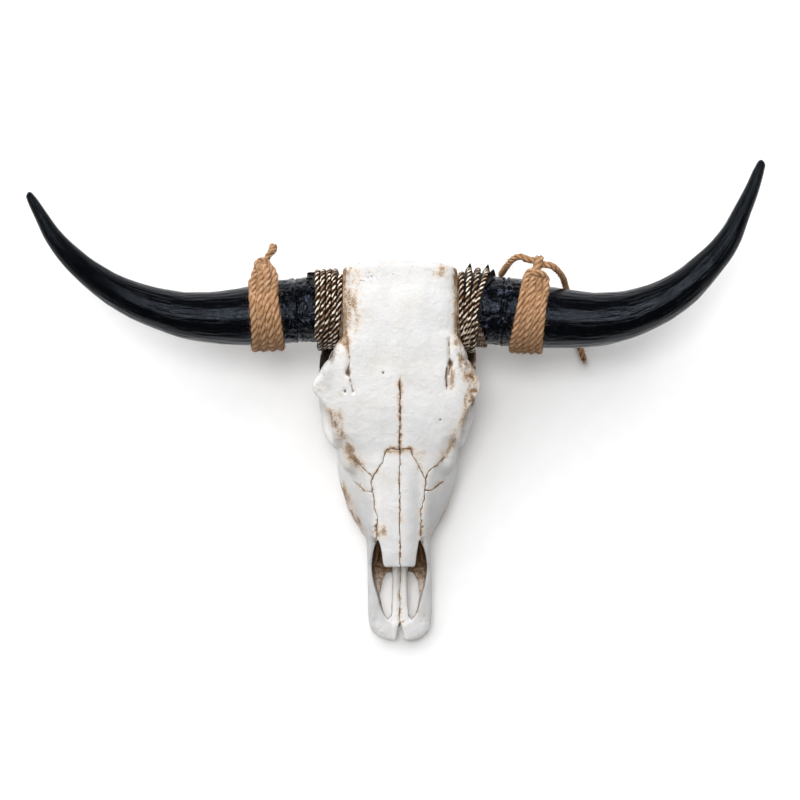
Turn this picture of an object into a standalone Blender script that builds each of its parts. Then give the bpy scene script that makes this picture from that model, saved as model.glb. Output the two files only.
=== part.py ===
"""A longhorn steer's skull with its horns, laid on its cheek teeth, and the cords wound on the horns.

+X is the animal's left, +Y runs from the nose to the poll, +Z is up from the floor.
Lengths below are in millimetres. A place on the skull is written (x, s, z): x to the side,
s from the poll towards the nose, z above the floor.
"""
import math

import bmesh
import bpy
import numpy as np
from mathutils import Matrix, Vector

MM = 0.001

# Driving dimensions
SKULL_LENGTH = 531
POLL_HEIGHT = 205
DORSAL_LINE = (
    (0, 190), (15, 202), (40, POLL_HEIGHT), (90, 200), (150, 188), (200, 176),
    (240, 163), (265, 154), (300, 146), (350, 134), (400, 121), (425, 114),
)
# How much wider the animal's right half is than the mean, and its left half narrower: (s, share)
LEAN = (
    (100, 0.0), (140, 0.02), (210, 0.03), (232, 0.055), (255, 0.035), (290, 0.03), (335, 0.05), (375, 0.07),
    (400, 0.035), (450, 0.012), (520, 0.0),
)
SUTURE_GAP = 0.6
MIDLINE_GAP = SUTURE_GAP / 2
FLOOR_Z = 0
NASAL_THICKNESS = 13
JOIN_GAP = 0.4
REMESH_SIZE = 3.6
SKULL_TRIANGLES = 1800

# Horns: (x outward, s, z, radius) from inside the base to the tip
HORN_ROUTES = {
    "left": (
        (62, 60, 137, 46), (100, 61, 137, 47.5), (146, 65, 139, 47.5), (205, 73, 142, 42.5),
        (262, 76, 147, 37.6), (302, 72, 153, 34.2), (343, 59, 159, 30.2), (383, 37, 169, 25.6),
        (422, 0, 180, 20.3), (448, -35, 190, 15.6), (463, -68, 196, 11.9), (476, -99, 202, 9.4),
        (484, -122, 205, 7.4), (489, -136, 207, 4.2),
    ),
    "right": (
        (62, 60, 137, 46), (100, 61, 137, 45.5), (152, 64, 139, 44.2), (221, 72, 143, 39.3),
        (248, 73, 145, 36.6), (289, 71, 151, 32.6), (329, 62, 157, 28.6), (370, 47, 165, 24.4),
        (409, 25, 176, 19.8), (448, -9, 190, 14.8), (470, -36, 199, 11.4), (484, -61, 205, 8.8),
        (496, -83, 210, 6.4), (501, -92, 212, 3.6),
    ),
}
HORN_SIDES = 16
STUB_END = 98
CUFF = (79, 127)
CUFF_THICKNESS = 2.0
CORE_SLACK = 0.2
WINDING_ROOM = 4
METAL_CORD = {"span": (80, 124), "turns": 6, "thickness": 7.4}
JUTE = {
    "left": {"span": (160, 207), "turns": 5, "thickness": 9.4},
    "right": {"span": (164, 206), "turns": 4, "thickness": 9.4},
}
JUTE_DIAMETER = 9.6
TAILS = {
    "jute_tail_short": (
        (175, -5, 167), (166, -9, 168), (156, -7, 161), (149, 0, 147), (144, 7, 127), (141, 12, 104),
    ),
    "jute_tail_long": (
        (211, 6, 165), (218, 11, 156), (226, 20, 136), (232, 31, 106), (238, 43, 72), (244, 60, 38),
        (251, 81, 14), (258, 104, 6.5), (266, 128, 5.4),
    ),
}
KNOTS = {
    "left": (
        ((190, 8, 163), (12, 13, 13)), ((186, 2, 174), (6, 9, 11)), ((199, 4, 167), (7, 8, 8)),
        ((184, -1, 165), (7, 8, 8)),
    ),
    "right": (
        ((-184, 8, 161), (12, 13, 13)), ((-176, -6, 168), (6, 10, 7)), ((-173, -18, 171), (7, 7, 7)),
    ),
}

# Cheek teeth from the last molar forward: (centre x, length, width)
CHEEK_TEETH = (
    (41, 29, 21), (41.5, 27, 22), (40, 24, 21), (37.5, 19, 18), (34.5, 18, 17), (31, 16, 14),
)
TOOTH_ROW_START = 236
ALVEOLAR_Z = 21

COLOURS = {
    "bone": (0.80, 0.75, 0.64, 1), "horn": (0.012, 0.013, 0.016, 1), "leather": (0.02, 0.018, 0.016, 1),
    "metal_cord": (0.20, 0.13, 0.06, 1), "jute": (0.42, 0.28, 0.14, 1),
}
FINISHES = {"bone": 0.75, "horn": 0.25, "leather": 0.55, "metal_cord": 0.45, "jute": 0.9}


def spot(x, s, z):
    """The point at (x, s, z) millimetres, in metres."""
    return Vector((x, -s, z)) * MM


def dorsal(s):
    """Height of the skull's upper midline."""
    places, heights = zip(*DORSAL_LINE)
    return float(np.interp(s, places, heights))


def lean(s):
    places, shares = zip(*LEAN)
    return float(np.interp(s, places, shares))


def material(kind):
    found = bpy.data.materials.get(kind)
    if found:
        return found
    made = bpy.data.materials.new(kind)
    made.use_nodes = True
    finish = made.node_tree.nodes["Principled BSDF"]
    finish.inputs["Base Color"].default_value = COLOURS[kind]
    finish.inputs["Roughness"].default_value = FINISHES[kind]
    finish.inputs["Metallic"].default_value = 0.6 if kind == "metal_cord" else 0
    return made


def add_object(name, mesh, kind="bone"):
    thing = bpy.data.objects.new(name, mesh)
    bpy.context.collection.objects.link(thing)
    mesh.materials.clear()
    mesh.materials.append(material(kind))
    return thing


def from_bmesh(name, bm, kind="bone"):
    bmesh.ops.recalc_face_normals(bm, faces=bm.faces)
    mesh = bpy.data.meshes.new(name)
    bm.to_mesh(mesh)
    bm.free()
    return add_object(name, mesh, kind)


def loft(name, rings, kind="bone"):
    """A closed solid through rings of points, each ring with the same number of points."""
    bm = bmesh.new()
    rows = [[bm.verts.new(point) for point in ring] for ring in rings]
    for row, following in zip(rows, rows[1:]):
        for i in range(len(row)):
            j = (i + 1) % len(row)
            bm.faces.new((row[i], row[j], following[j], following[i]))
    bm.faces.new(reversed(rows[0]))
    bm.faces.new(rows[-1])
    return from_bmesh(name, bm, kind)


def oval_ring(s, half, low, high, power=2.6, sides=24):
    """A superellipse across the skull at s."""
    ring = []
    middle, tall = (low + high) / 2, (high - low) / 2
    for i in range(sides):
        turn = math.tau * i / sides
        c, n = math.cos(turn), math.sin(turn)
        x = half * math.copysign(abs(c) ** (2 / power), c)
        z = middle + tall * math.copysign(abs(n) ** (2 / power), n)
        ring.append(spot(x, s, z))
    return ring


def oval_loft(name, stations, power=2.6):
    """A loft of superellipses; a station is (s, half width, low z, high z)."""
    return loft(name, [oval_ring(*station, power=power) for station in stations])


def face_ring(s, top_half, wide_half, wide_z, foot_half, foot_z):
    """The face across the skull at s: a narrow roof, a wide cheek and a narrower alveolar edge."""
    top = dorsal(s)
    shoulder_z = (top - 9 + wide_z) / 2
    half = (
        (top_half * 0.55, top - 1.5), (top_half, top - 9),
        (top_half * 0.45 + wide_half * 0.55, shoulder_z), (wide_half, wide_z),
        ((wide_half + foot_half) / 2, (wide_z + foot_z) / 2), (foot_half, foot_z + 5),
        (foot_half - 6, foot_z),
    )
    return [spot(x, s, z) for x, z in half] + [spot(-x, s, z) for x, z in reversed(half)]


def limb(name, points, sides=10):
    """A rounded bar through points of (x, s, z, radius)."""
    rings = []
    places = [Vector((x, -s, z)) for x, s, z, radius in points]
    for i, (place, (x, s, z, radius)) in enumerate(zip(places, points)):
        ahead = (places[min(i + 1, len(places) - 1)] - places[max(i - 1, 0)]).normalized()
        side = ahead.cross(Vector((0, 0, 1)) if abs(ahead.z) < 0.9 else Vector((0, 1, 0))).normalized()
        other = ahead.cross(side)
        rings.append([
            (place + radius * (math.cos(a) * side + math.sin(a) * other)) * MM
            for a in (math.tau * k / sides for k in range(sides))
        ])
    return loft(name, rings)


def lump(name, centre, radii, turn=(0, 0, 0), kind="bone", detail=3):
    """An ellipsoid."""
    bm = bmesh.new()
    bmesh.ops.create_icosphere(bm, subdivisions=detail, radius=MM)
    turned = Matrix.Rotation(math.radians(turn[2]), 4, "Z") @ Matrix.Rotation(math.radians(turn[0]), 4, "X")
    size = Matrix.Diagonal((*radii, 1))
    bmesh.ops.transform(bm, matrix=Matrix.Translation(spot(*centre)) @ turned @ size, verts=bm.verts)
    return from_bmesh(name, bm, kind)


def prism(name, outline, low, high, axis="z"):
    """A straight prism: an (x, s) outline between two heights, or an (s, z) outline between two x."""
    def place(a, b, level):
        return spot(a, b, level) if axis == "z" else spot(level, a, b)
    rings = [[place(a, b, level) for a, b in outline] for level in (low, high)]
    return loft(name, rings)


def mirrored(points, side):
    """The same (x, s, z, ...) points on the given side: 1 is the animal's left, -1 its right."""
    return [(side * x, *rest) for x, *rest in points]


def copy_of(thing, name):
    twin = thing.copy()
    twin.data = thing.data.copy()
    twin.name = name
    bpy.context.collection.objects.link(twin)
    return twin


def apply_modifiers(thing):
    """Replace the object's mesh by what its modifiers make of it."""
    bpy.context.view_layer.update()
    mesh = bpy.data.meshes.new_from_object(thing.evaluated_get(bpy.context.evaluated_depsgraph_get()))
    thing.modifiers.clear()
    old = thing.data
    thing.data = mesh
    bpy.data.meshes.remove(old)


def boolean(thing, operation, tool, allow_crossings=False):
    """Cut or join with another object; thinned skin may cross itself, which the solver must allow for."""
    step = thing.modifiers.new(operation, "BOOLEAN")
    step.operation = operation
    step.object = tool
    step.use_self = allow_crossings
    apply_modifiers(thing)


def discard(*things):
    for thing in things:
        bpy.data.objects.remove(thing)


def joined(name, things):
    """One object from several, whose shells may overlap."""
    bm = bmesh.new()
    for thing in things:
        bm.from_mesh(thing.data)
    discard(*things)
    mesh = bpy.data.meshes.new(name)
    bm.to_mesh(mesh)
    bm.free()
    return add_object(name, mesh)


def melted(thing, size, smoothing):
    """Fuse overlapping shells into one skin and round it."""
    fuse = thing.modifiers.new("fuse", "REMESH")
    fuse.mode = "VOXEL"
    fuse.voxel_size = size * MM
    soften = thing.modifiers.new("soften", "SMOOTH")
    soften.factor = 0.5
    soften.iterations = smoothing
    apply_modifiers(thing)


def keep_largest(thing):
    """Drop loose islands smaller than the largest one."""
    bm = bmesh.new()
    bm.from_mesh(thing.data)
    left = set(bm.verts)
    islands = []
    while left:
        island, front = set(), [left.pop()]
        while front:
            vert = front.pop()
            island.add(vert)
            for edge in vert.link_edges:
                other = edge.other_vert(vert)
                if other in left:
                    left.remove(other)
                    front.append(other)
        islands.append(island)
    islands.sort(key=len)
    stray = [vert for island in islands[:-1] for vert in island]
    bmesh.ops.delete(bm, geom=stray, context="VERTS")
    bm.to_mesh(thing.data)
    bm.free()


# The skull in one piece

def cranial_masses():
    roof = oval_loft("roof", (
        (0, 44, 150, 190), (4, 64, 140, 196), (9, 74, 130, 200), (18, 77, 124, 203), (45, 77, 118, 205),
        (90, 77, 125, 200), (108, 85, 138, 197), (122, 92, 143, 194), (150, 106, 142, 188),
        (166, 113, 140, 184), (178, 111, 136, 181), (200, 107, 130, 176), (232, 100, 120, 166),
        (262, 84, 96, 155),
    ), power=3.6)
    case = oval_loft("case", (
        (14, 46, 60, 178), (24, 60, 54, 186), (50, 62, 54, 190), (100, 54, 52, 185), (150, 48, 50, 178),
        (200, 46, 46, 168), (235, 52, 40, 150),
    ), power=2.3)
    yield roof
    yield case
    yield lump("occipital knob", (0, 24, 132), (15, 15, 17))
    for side in (1, -1):
        yield limb("horn core", mirrored(((30, 60, 140, 44), (60, 60, 138, 50), (110, 61, 137, 52)), side), 24)
        yield limb("horn saddle", mirrored(((40, 100, 150, 34), (72, 92, 140, 30)), side), 16)
        yield limb("orbit bar", mirrored(
            ((104, 164, 170, 11), (108, 161, 150, 9), (107, 161, 125, 8.5), (104, 164, 104, 8.5),
             (101, 176, 90, 9)), side))
        yield limb("orbit rim", mirrored(
            ((109, 164, 164, 9), (109, 182, 171, 8), (104, 204, 169, 8), (98, 223, 160, 8),
             (93, 238, 143, 8), (90, 243, 124, 9), (90, 238, 104, 10), (92, 222, 90, 10),
             (96, 200, 84, 9), (100, 182, 84, 9)), side))
        yield limb("arch", mirrored(
            ((84, 250, 84, 12), (92, 225, 80, 12), (100, 195, 80, 10), (106, 165, 82, 8.5), (108, 140, 82, 8),
             (105, 120, 81, 9), (96, 105, 79, 11), (76, 98, 76, 14), (52, 95, 74, 15)), side))
        yield limb("ear tube", mirrored(((50, 62, 92, 16), (70, 62, 88, 12), (80, 62, 86, 9)), side))
        yield limb("mastoid", mirrored(
            ((48, 36, 150, 22), (56, 36, 124, 20), (64, 36, 98, 17), (63, 36, 78, 15)), side))
        yield limb("paracondylar", mirrored(
            ((56, 30, 84, 17), (58, 34, 58, 12), (55, 38, 30, 8.5), (52, 41, 6, 6.5)), side))
        yield lump("cheek root", (side * 66, 258, 112), (17, 30, 24))
        yield lump("condyle", (side * 27, 16, 76), (19, 15, 24), (0, 0, side * 18))
        yield lump("bulla", (side * 36, 70, 58), (12, 20, 17))
        yield limb("pterygoid", mirrored(
            ((22, 150, 54, 7), (22, 172, 44, 6), (21, 192, 38, 6), (23, 214, 34, 6), (25, 230, 32, 7)), side))
        yield limb("hamulus", mirrored(((21, 190, 38, 6), (22, 184, 28, 4.5), (23, 178, 20, 3.5)), side))
    yield limb("basioccipital", ((0, 16, 62, 14), (0, 60, 58, 15), (0, 100, 56, 13), (0, 150, 56, 12)))
    yield limb("nuchal crest", ((-60, 24, 160, 14), (-30, 17, 172, 14), (0, 16, 176, 14), (30, 17, 172, 14),
                                (60, 24, 160, 14)))


def facial_masses():
    stations = (
        (225, 74, 84, 118, 58, 44), (262, 57, 84, 92, 53, 26), (285, 46, 81, 72, 52, 21),
        (310, 40, 76, 62, 51, ALVEOLAR_Z), (333, 37, 71, 58, 50, ALVEOLAR_Z),
        (352, 35, 63, 55, 48, ALVEOLAR_Z), (366, 34, 55, 48, 45, ALVEOLAR_Z + 1), (377, 32, 49, 43, 43, 24),
    )
    yield loft("face", [face_ring(*station) for station in stations])
    yield oval_loft("muzzle", (
        (358, 44, 22, 108), (378, 46, 23, 97), (402, 46, 24, 81), (430, 46, 24, 66), (460, 46, 23, 54),
        (485, 46, 22, 46), (502, 44, 21, 40), (515, 37, 21, 36), (525, 25, 21, 33),
        (SKULL_LENGTH, 13, 22, 30),
    ), power=3.2)
    yield oval_loft("nasal plate", tuple(
        (s, half, dorsal(s) - thick, dorsal(s))
        for s, half, thick in ((340, 32, 14), (378, 29, 13), (400, 24, 10), (415, 22, 9), (425, 13, 8))
    ), power=2.6)


def hollows():
    """Cutters for the openings that show."""
    yield oval_loft("nasal passage", (
        (322, 12, 66, 88), (345, 17, 58, 100), (372, 23, 50, 106), (384, 30, 48, 110), (400, 35, 46, 112),
        (425, 36, 44, 105.5), (426, 36, 44, 170), (452, 34, 42, 170), (478, 27, 40, 170), (500, 14, 40, 150),
        (508, 7, 40, 120),
    ), power=2.8)
    yield oval_loft("palate", (
        (214, 16, -20, 50), (232, 22, -20, 44), (262, 27, -20, 40), (340, 26, -20, 38), (372, 23, -20, 36),
        (430, 21, -20, 33), (480, 18, -20, 28), (504, 10, -20, 24.5),
    ), power=2.4)
    yield lump("choana", (0, 188, 36), (15, 42, 20))
    yield lump("foramen magnum", (0, 4, 84), (19, 42, 18))
    for side in (1, -1):
        yield lump("orbit", (side * 112, 203, 127), (44, 31.5, 33))
        yield limb("orbit apex", mirrored(((96, 203, 125, 27), (66, 196, 116, 19), (52, 188, 110, 12)), side), 16)
        yield limb("temporal fossa", mirrored(
            ((98, 124, 116, 17), (86, 140, 116, 24), (80, 160, 114, 24), (76, 182, 112, 20)), side), 16)
        yield limb("temporal hollow", mirrored(((92, 108, 106, 13), (78, 88, 104, 13), (84, 66, 100, 9)), side), 12)


def fissure_outline(side):
    return [
        (side * (19.5 + 8.5 * math.cos(math.tau * k / 12)), 467 + 35 * math.sin(math.tau * k / 12))
        for k in range(12)
    ]


def through_holes():
    for side in (1, -1):
        yield prism("palatine fissure", fissure_outline(side), 5, 60)
    yield prism("front notch", ((-4.5, 514), (4.5, 514), (5.5, 545), (-5.5, 545)), 5, 60)


def teeth_and_feet():
    """Cheek teeth and the feet of the paracondylar processes, down through the floor."""
    for side in (1, -1):
        s = TOOTH_ROW_START
        for x, length, width in CHEEK_TEETH:
            levels = ((-3, 0.42), (6, 0.47), (34, 0.46))
            yield loft("tooth", [
                [spot(side * x + width * half * math.copysign(abs(math.cos(a)) ** 0.6, math.cos(a)),
                      s + length * (0.5 + half * math.copysign(abs(math.sin(a)) ** 0.6, math.sin(a))), z)
                 for a in (math.tau * (k + 0.5) / 8 for k in range(8))]
                for z, half in levels
            ])
            s += length
        yield limb("foot", mirrored(((55, 38, 34, 8), (52, 41, 8, 6.5), (51, 42, -4, 6)), side), 8)


def build_skull():
    skull = joined("skull", [*cranial_masses(), *facial_masses()])
    melted(skull, REMESH_SIZE, 8)
    for cutter in hollows():
        boolean(skull, "DIFFERENCE", cutter)
        discard(cutter)
    melted(skull, REMESH_SIZE * 0.75, 6)
    keep_largest(skull)
    for vert in skull.data.vertices:
        share = lean(-vert.co.y / MM)
        vert.co.x *= 1 + share if vert.co.x < 0 else 1 - share
    thin = skull.modifiers.new("thin", "DECIMATE")
    thin.ratio = SKULL_TRIANGLES / (2 * len(skull.data.polygons))
    apply_modifiers(skull)
    for cutter in through_holes():
        boolean(skull, "DIFFERENCE", cutter)
        discard(cutter)
    for piece in teeth_and_feet():
        boolean(skull, "UNION", piece)
        discard(piece)
    floor = prism("floor", ((-300, -50), (300, -50), (300, 600), (-300, 600)), FLOOR_Z - 60, FLOOR_Z)
    boolean(skull, "DIFFERENCE", floor)
    discard(floor)
    return skull


# Bones

def offset_outline(outline, by):
    """The outline with each side moved outward by a distance."""
    points = [Vector(point) for point in outline]
    area = sum(a.x * b.y - b.x * a.y for a, b in zip(points, points[1:] + points[:1]))
    way = 1 if area > 0 else -1
    moved = []
    for i, point in enumerate(points):
        before, after = points[i - 1], points[(i + 1) % len(points)]
        first, second = (point - before).normalized(), (after - point).normalized()
        normal_1, normal_2 = Vector((first.y, -first.x)) * way, Vector((second.y, -second.x)) * way
        bisector = (normal_1 + normal_2).normalized()
        moved.append(point + bisector * by / max(bisector.dot(normal_1), 0.35))
    return [(point.x, point.y) for point in moved]


def region(outline, low, high, axis, side, gap):
    """A prism that holds one bone, grown by half the suture gap."""
    grown = offset_outline(outline, gap)
    if axis == "z":
        grown = [(side * x, s) for x, s in grown]
        return prism("region", grown, low - gap, high)
    return prism("region", grown, side * (low - gap), side * (high + gap), axis="x")


NASAL = (
    (0, 257), (16.5, 257), (20.6, 264), (24.8, 280), (34.4, 293), (39.4, 301), (39.5, 318), (34.5, 336),
    (32.6, 353), (31, 376), (34, 384), (34, 440), (0, 440),
)
LACRIMAL = (
    (39.8, 299), (47, 285), (56.6, 275), (67.7, 267), (80, 245), (84, 221), (130, 221), (130, 268), (80, 296),
    (62, 301.6), (52.5, 308.5), (47, 314), (39.8, 314),
)
PREMAXILLA = ((368, 118), (368, 100), (398, 80), (432, 50), (448, 5), (560, 5), (560, 118))
ZYGOMATIC = (
    (291, 103), (284, 72), (262, 60), (228, 60), (150, 60), (140, 96), (157, 101), (157, 128), (184, 128),
    (196, 103),
)
MAXILLA = ((303, 170), (303, 112), (286, 98), (264, 58), (230, 44), (226, -9), (560, -9), (560, 170))
FRONTAL = ((-30, 230), (-30, 182), (20, 172), (118, 158), (148, 130), (200, 118), (330, 112), (330, 230))
HORN_CORE = ((4, 88), (4, 200), (118, 200), (118, 88))
OCCIPITAL = ((-30, 190), (36, 190), (40, 82), (60, 72), (60, -9), (-30, -9))
TEMPORAL = ((-30, 170), (-30, 30), (156, 30), (156, 170))


def nasal_region(side, gap):
    """The nasal bone's outline, down to a floor that follows the dorsal line."""
    outline = [(side * max(x, MIDLINE_GAP - gap), s) for x, s in offset_outline(NASAL, gap)]
    shape = prism("region", outline, 60, 230)
    floor = [(s, dorsal(s) - NASAL_THICKNESS - gap) for s in (240, 265, 300, 350, 400, 445)]
    above = prism("above", (*floor, (445, 240), (240, 240)), -60, 60, axis="x")
    boolean(shape, "INTERSECT", above)
    discard(above)
    return shape


def side_region(outline, inner, side, gap):
    return region(outline, inner, 180, "x", side, gap)


def part_out(skull, name, make_region):
    """Take the skull's matter inside a region out as a bone of its own, with a gap round it."""
    bone = copy_of(skull, name)
    inside = make_region(0)
    boolean(bone, "INTERSECT", inside, allow_crossings=True)
    keep_largest(bone)
    around = make_region(SUTURE_GAP)
    boolean(skull, "DIFFERENCE", around, allow_crossings=True)
    discard(inside, around)
    keep_largest(skull)
    return bone


def part_bones(skull):
    """Part the skull along its sutures, from the nose back."""
    for side, word in ((1, "left"), (-1, "right")):
        part_out(skull, f"nasal_{word}", lambda gap: nasal_region(side, gap))
    for side, word in ((1, "left"), (-1, "right")):
        part_out(skull, f"lacrimal_{word}", lambda gap: region(LACRIMAL, 106, 230, "z", side, gap))
    for side, word in ((1, "left"), (-1, "right")):
        part_out(skull, f"zygomatic_{word}", lambda gap: side_region(ZYGOMATIC, 62, side, gap))
    for outline, name in ((PREMAXILLA, "premaxilla"), (MAXILLA, "maxilla")):
        both = part_out(skull, name, lambda gap: prism(
            "region", offset_outline(outline, gap), -180, 180, axis="x"))
        halve(both, name)
    frontals = part_out(skull, "frontal", frontal_region)
    halve(frontals, "frontal")
    part_out(skull, "occipital", lambda gap: prism(
        "region", offset_outline(OCCIPITAL, gap), -180, 180, axis="x"))
    for side, word in ((1, "left"), (-1, "right")):
        part_out(skull, f"temporal_{word}", lambda gap: side_region(TEMPORAL, 40, side, gap))
    skull.name = "skull_base"


def frontal_region(gap):
    """The roof of the skull with both horn cores."""
    roof = prism("region", offset_outline(FRONTAL, gap), -180, 180, axis="x")
    for side in (1, -1):
        core = side_region(HORN_CORE, 66, side, gap)
        boolean(roof, "UNION", core)
        discard(core)
    return roof


def halve(bone, name):
    """Split a paired bone along the midline."""
    for side, word in ((1, "left"), (-1, "right")):
        half = copy_of(bone, f"{name}_{word}")
        outline = ((MIDLINE_GAP, -90), (300, -90), (300, 620), (MIDLINE_GAP, 620))
        keep = prism("keep", [(side * x, s) for x, s in outline], -20, 260)
        boolean(half, "INTERSECT", keep, allow_crossings=True)
        keep_largest(half)
        discard(keep)
    discard(bone)


# Horns and what is wound on them

class Horn:
    """Rings of one horn, from inside the base out to the tip."""

    def __init__(self, word):
        side = 1 if word == "left" else -1
        route = [(side * x, -s, z, radius) for x, s, z, radius in HORN_ROUTES[word]]
        self.nodes = np.array(route, float)
        self.side = side

    def at(self, x):
        """Centre, radius and cross directions where the horn's route has this |x|."""
        reach = np.abs(self.nodes[:, 0])
        i = int(np.clip(np.searchsorted(reach, x, side="right") - 1, 0, len(reach) - 2))
        share = (x - reach[i]) / (reach[i + 1] - reach[i])
        node = self.nodes[i] * (1 - share) + self.nodes[i + 1] * share
        first, second = self.frame(i), self.frame(i + 1)
        across = first[0].lerp(second[0], share)
        upward = first[1].lerp(second[1], share)
        return Vector(node[:3]), float(node[3]), across, upward

    def frame(self, i):
        last = len(self.nodes) - 1
        ahead = Vector(self.nodes[min(i + 1, last)][:3] - self.nodes[max(i - 1, 0)][:3]).normalized()
        across = Vector((0, 0, 1)).cross(ahead).normalized() * self.side
        return across, ahead.cross(across) * self.side

    def ring(self, x, outward=0.0, scale=1.0):
        centre, radius, across, upward = self.at(x)
        size = (radius + outward) * scale
        return [
            (centre + size * (math.cos(a) * across + math.sin(a) * upward)) * MM
            for a in (math.tau * k / HORN_SIDES for k in range(HORN_SIDES))
        ]

    def stations(self, start, end):
        reach = [abs(x) for x in self.nodes[:, 0] if start < abs(x) < end]
        return [start, *reach, end]


def ring_loft(name, outer, inner, kind):
    """A closed sleeve: outer rings out, then the inner rings back."""
    bm = bmesh.new()
    rows = [[bm.verts.new(point) for point in ring] for ring in (*outer, *reversed(inner))]
    for row, following in zip(rows, rows[1:] + rows[:1]):
        for i in range(len(row)):
            j = (i + 1) % len(row)
            bm.faces.new((row[i], row[j], following[j], following[i]))
    return from_bmesh(name, bm, kind)


def horn(word):
    shape = Horn(word)
    places = shape.stations(STUB_END + JOIN_GAP, abs(shape.nodes[-1][0]) - 1)
    rings = [shape.ring(x) for x in places]
    rings.append(shape.ring(places[-1] + 1, scale=0.4))
    return loft(f"horn_{word}", rings, "horn")


def wound(name, word, span, turns, thickness, inside, kind):
    """Turns of cord side by side, as one lobed sleeve on the horn."""
    shape = Horn(word)
    start, end = span
    pitch = (end - start) / turns
    outer = [shape.ring(start, inside + thickness * 0.3)]
    for turn in range(turns):
        for share, lift in ((0.5, 1.0), (1.0, 0.55)):
            last = turn == turns - 1 and share == 1.0
            outer.append(shape.ring(start + pitch * (turn + share), inside + thickness * (0.3 if last else lift)))
    inner = [shape.ring(x, inside) for x in shape.stations(start, end)]
    return ring_loft(name, outer, inner, kind)


def cuff(word):
    """The dark leather under the metal cord."""
    shape = Horn(word)
    start, end = CUFF
    inside = JOIN_GAP
    places = shape.stations(start, end)
    outer = [shape.ring(x, inside + CUFF_THICKNESS) for x in places]
    inner = [shape.ring(x, inside) for x in places]
    return ring_loft(f"horn_collar_{word}", outer, inner, "leather")


def trim_stub(skull, word):
    """Make room for the cuff round the horn core, and end the core where the horn begins."""
    shape = Horn(word)
    room = CUFF_THICKNESS + METAL_CORD["thickness"] + WINDING_ROOM
    block = loft("block", [shape.ring(x, room) for x in (CUFF[0] - 1.5, STUB_END, CUFF[1] + 13)])
    core = loft("core", [shape.ring(x, -CORE_SLACK) for x in (CUFF[0] - 16, STUB_END)])
    boolean(block, "DIFFERENCE", core)
    boolean(skull, "DIFFERENCE", block)
    discard(block, core)


def knot(word):
    """The jute's knot, clear of the wraps it stands on."""
    pieces = [lump("ball", centre, radii, kind="jute", detail=1) for centre, radii in KNOTS[word]]
    tied = pieces[0]
    for piece in pieces[1:]:
        boolean(tied, "UNION", piece)
        discard(piece)
    span = JUTE[word]["span"]
    shape = Horn(word)
    around = JOIN_GAP * 2 + JUTE[word]["thickness"] + 0.5
    room = loft("room", [shape.ring(x, around) for x in shape.stations(span[0] - 20, span[1] + 20)])
    boolean(tied, "DIFFERENCE", room)
    discard(room)
    tied.name = f"jute_knot_{word}"
    tied.data.materials.clear()
    tied.data.materials.append(material("jute"))


def tail(name, points):
    """A free end of the jute, as a tube."""
    dense = catmull(points, JUTE_DIAMETER * 2.2)
    curve = bpy.data.curves.new(name, "CURVE")
    curve.dimensions = "3D"
    curve.bevel_depth = JUTE_DIAMETER / 2 * MM
    curve.bevel_resolution = 2
    curve.use_fill_caps = True
    line = curve.splines.new("POLY")
    line.points.add(len(dense) - 1)
    for point, place in zip(line.points, dense):
        point.co = (*spot(*place), 1)
    curve.materials.append(material("jute"))
    thing = bpy.data.objects.new(name, curve)
    bpy.context.collection.objects.link(thing)


def catmull(points, step):
    """Points along a smooth curve through the given ones, about a step apart."""
    line = np.array(points, float)
    ends = np.vstack([2 * line[0] - line[1], line, 2 * line[-1] - line[-2]])
    fine = []
    for i in range(1, len(ends) - 2):
        a, b, c, d = ends[i - 1:i + 3]
        for u in np.linspace(0, 1, 16, endpoint=False):
            fine.append(0.5 * (2 * b + (c - a) * u + (2 * a - 5 * b + 4 * c - d) * u ** 2
                               + (3 * b - a - 3 * c + d) * u ** 3))
    fine.append(line[-1])
    fine = np.array(fine)
    run = np.concatenate([[0], np.cumsum(np.linalg.norm(np.diff(fine, axis=0), axis=1))])
    count = max(2, round(run[-1] / step) + 1)
    return [tuple(np.interp(at, run, fine[:, k]) for k in range(3)) for at in np.linspace(0, run[-1], count)]


def centre_on_floor():
    """Move everything so that the origin is under the middle of the whole."""
    bpy.context.view_layer.update()
    graph = bpy.context.evaluated_depsgraph_get()
    points = np.array([
        vert.co[:] for thing in bpy.data.objects for vert in thing.evaluated_get(graph).to_mesh().vertices
    ])
    middle = (points.min(0) + points.max(0)) / 2
    for thing in bpy.data.objects:
        thing.location -= Vector((middle[0], middle[1], 0))


def shade_round(thing):
    if thing.type == "MESH":
        thing.data.shade_smooth()
        thing.data.set_sharp_from_angle(angle=math.radians(35))


def main():
    for thing in list(bpy.data.objects):
        bpy.data.objects.remove(thing)
    skull = build_skull()
    for word in ("left", "right"):
        trim_stub(skull, word)
    part_bones(skull)
    for word in ("left", "right"):
        horn(word)
        cuff(word)
        wound(f"base_cord_{word}", word, METAL_CORD["span"], METAL_CORD["turns"],
              METAL_CORD["thickness"], JOIN_GAP * 2 + CUFF_THICKNESS, "metal_cord")
        wound(f"jute_wrap_{word}", word, JUTE[word]["span"], JUTE[word]["turns"],
              JUTE[word]["thickness"], JOIN_GAP, "jute")
        knot(word)
    for name, points in TAILS.items():
        tail(name, points)
    for thing in bpy.data.objects:
        shade_round(thing)
    centre_on_floor()


main()
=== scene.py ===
import math

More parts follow.
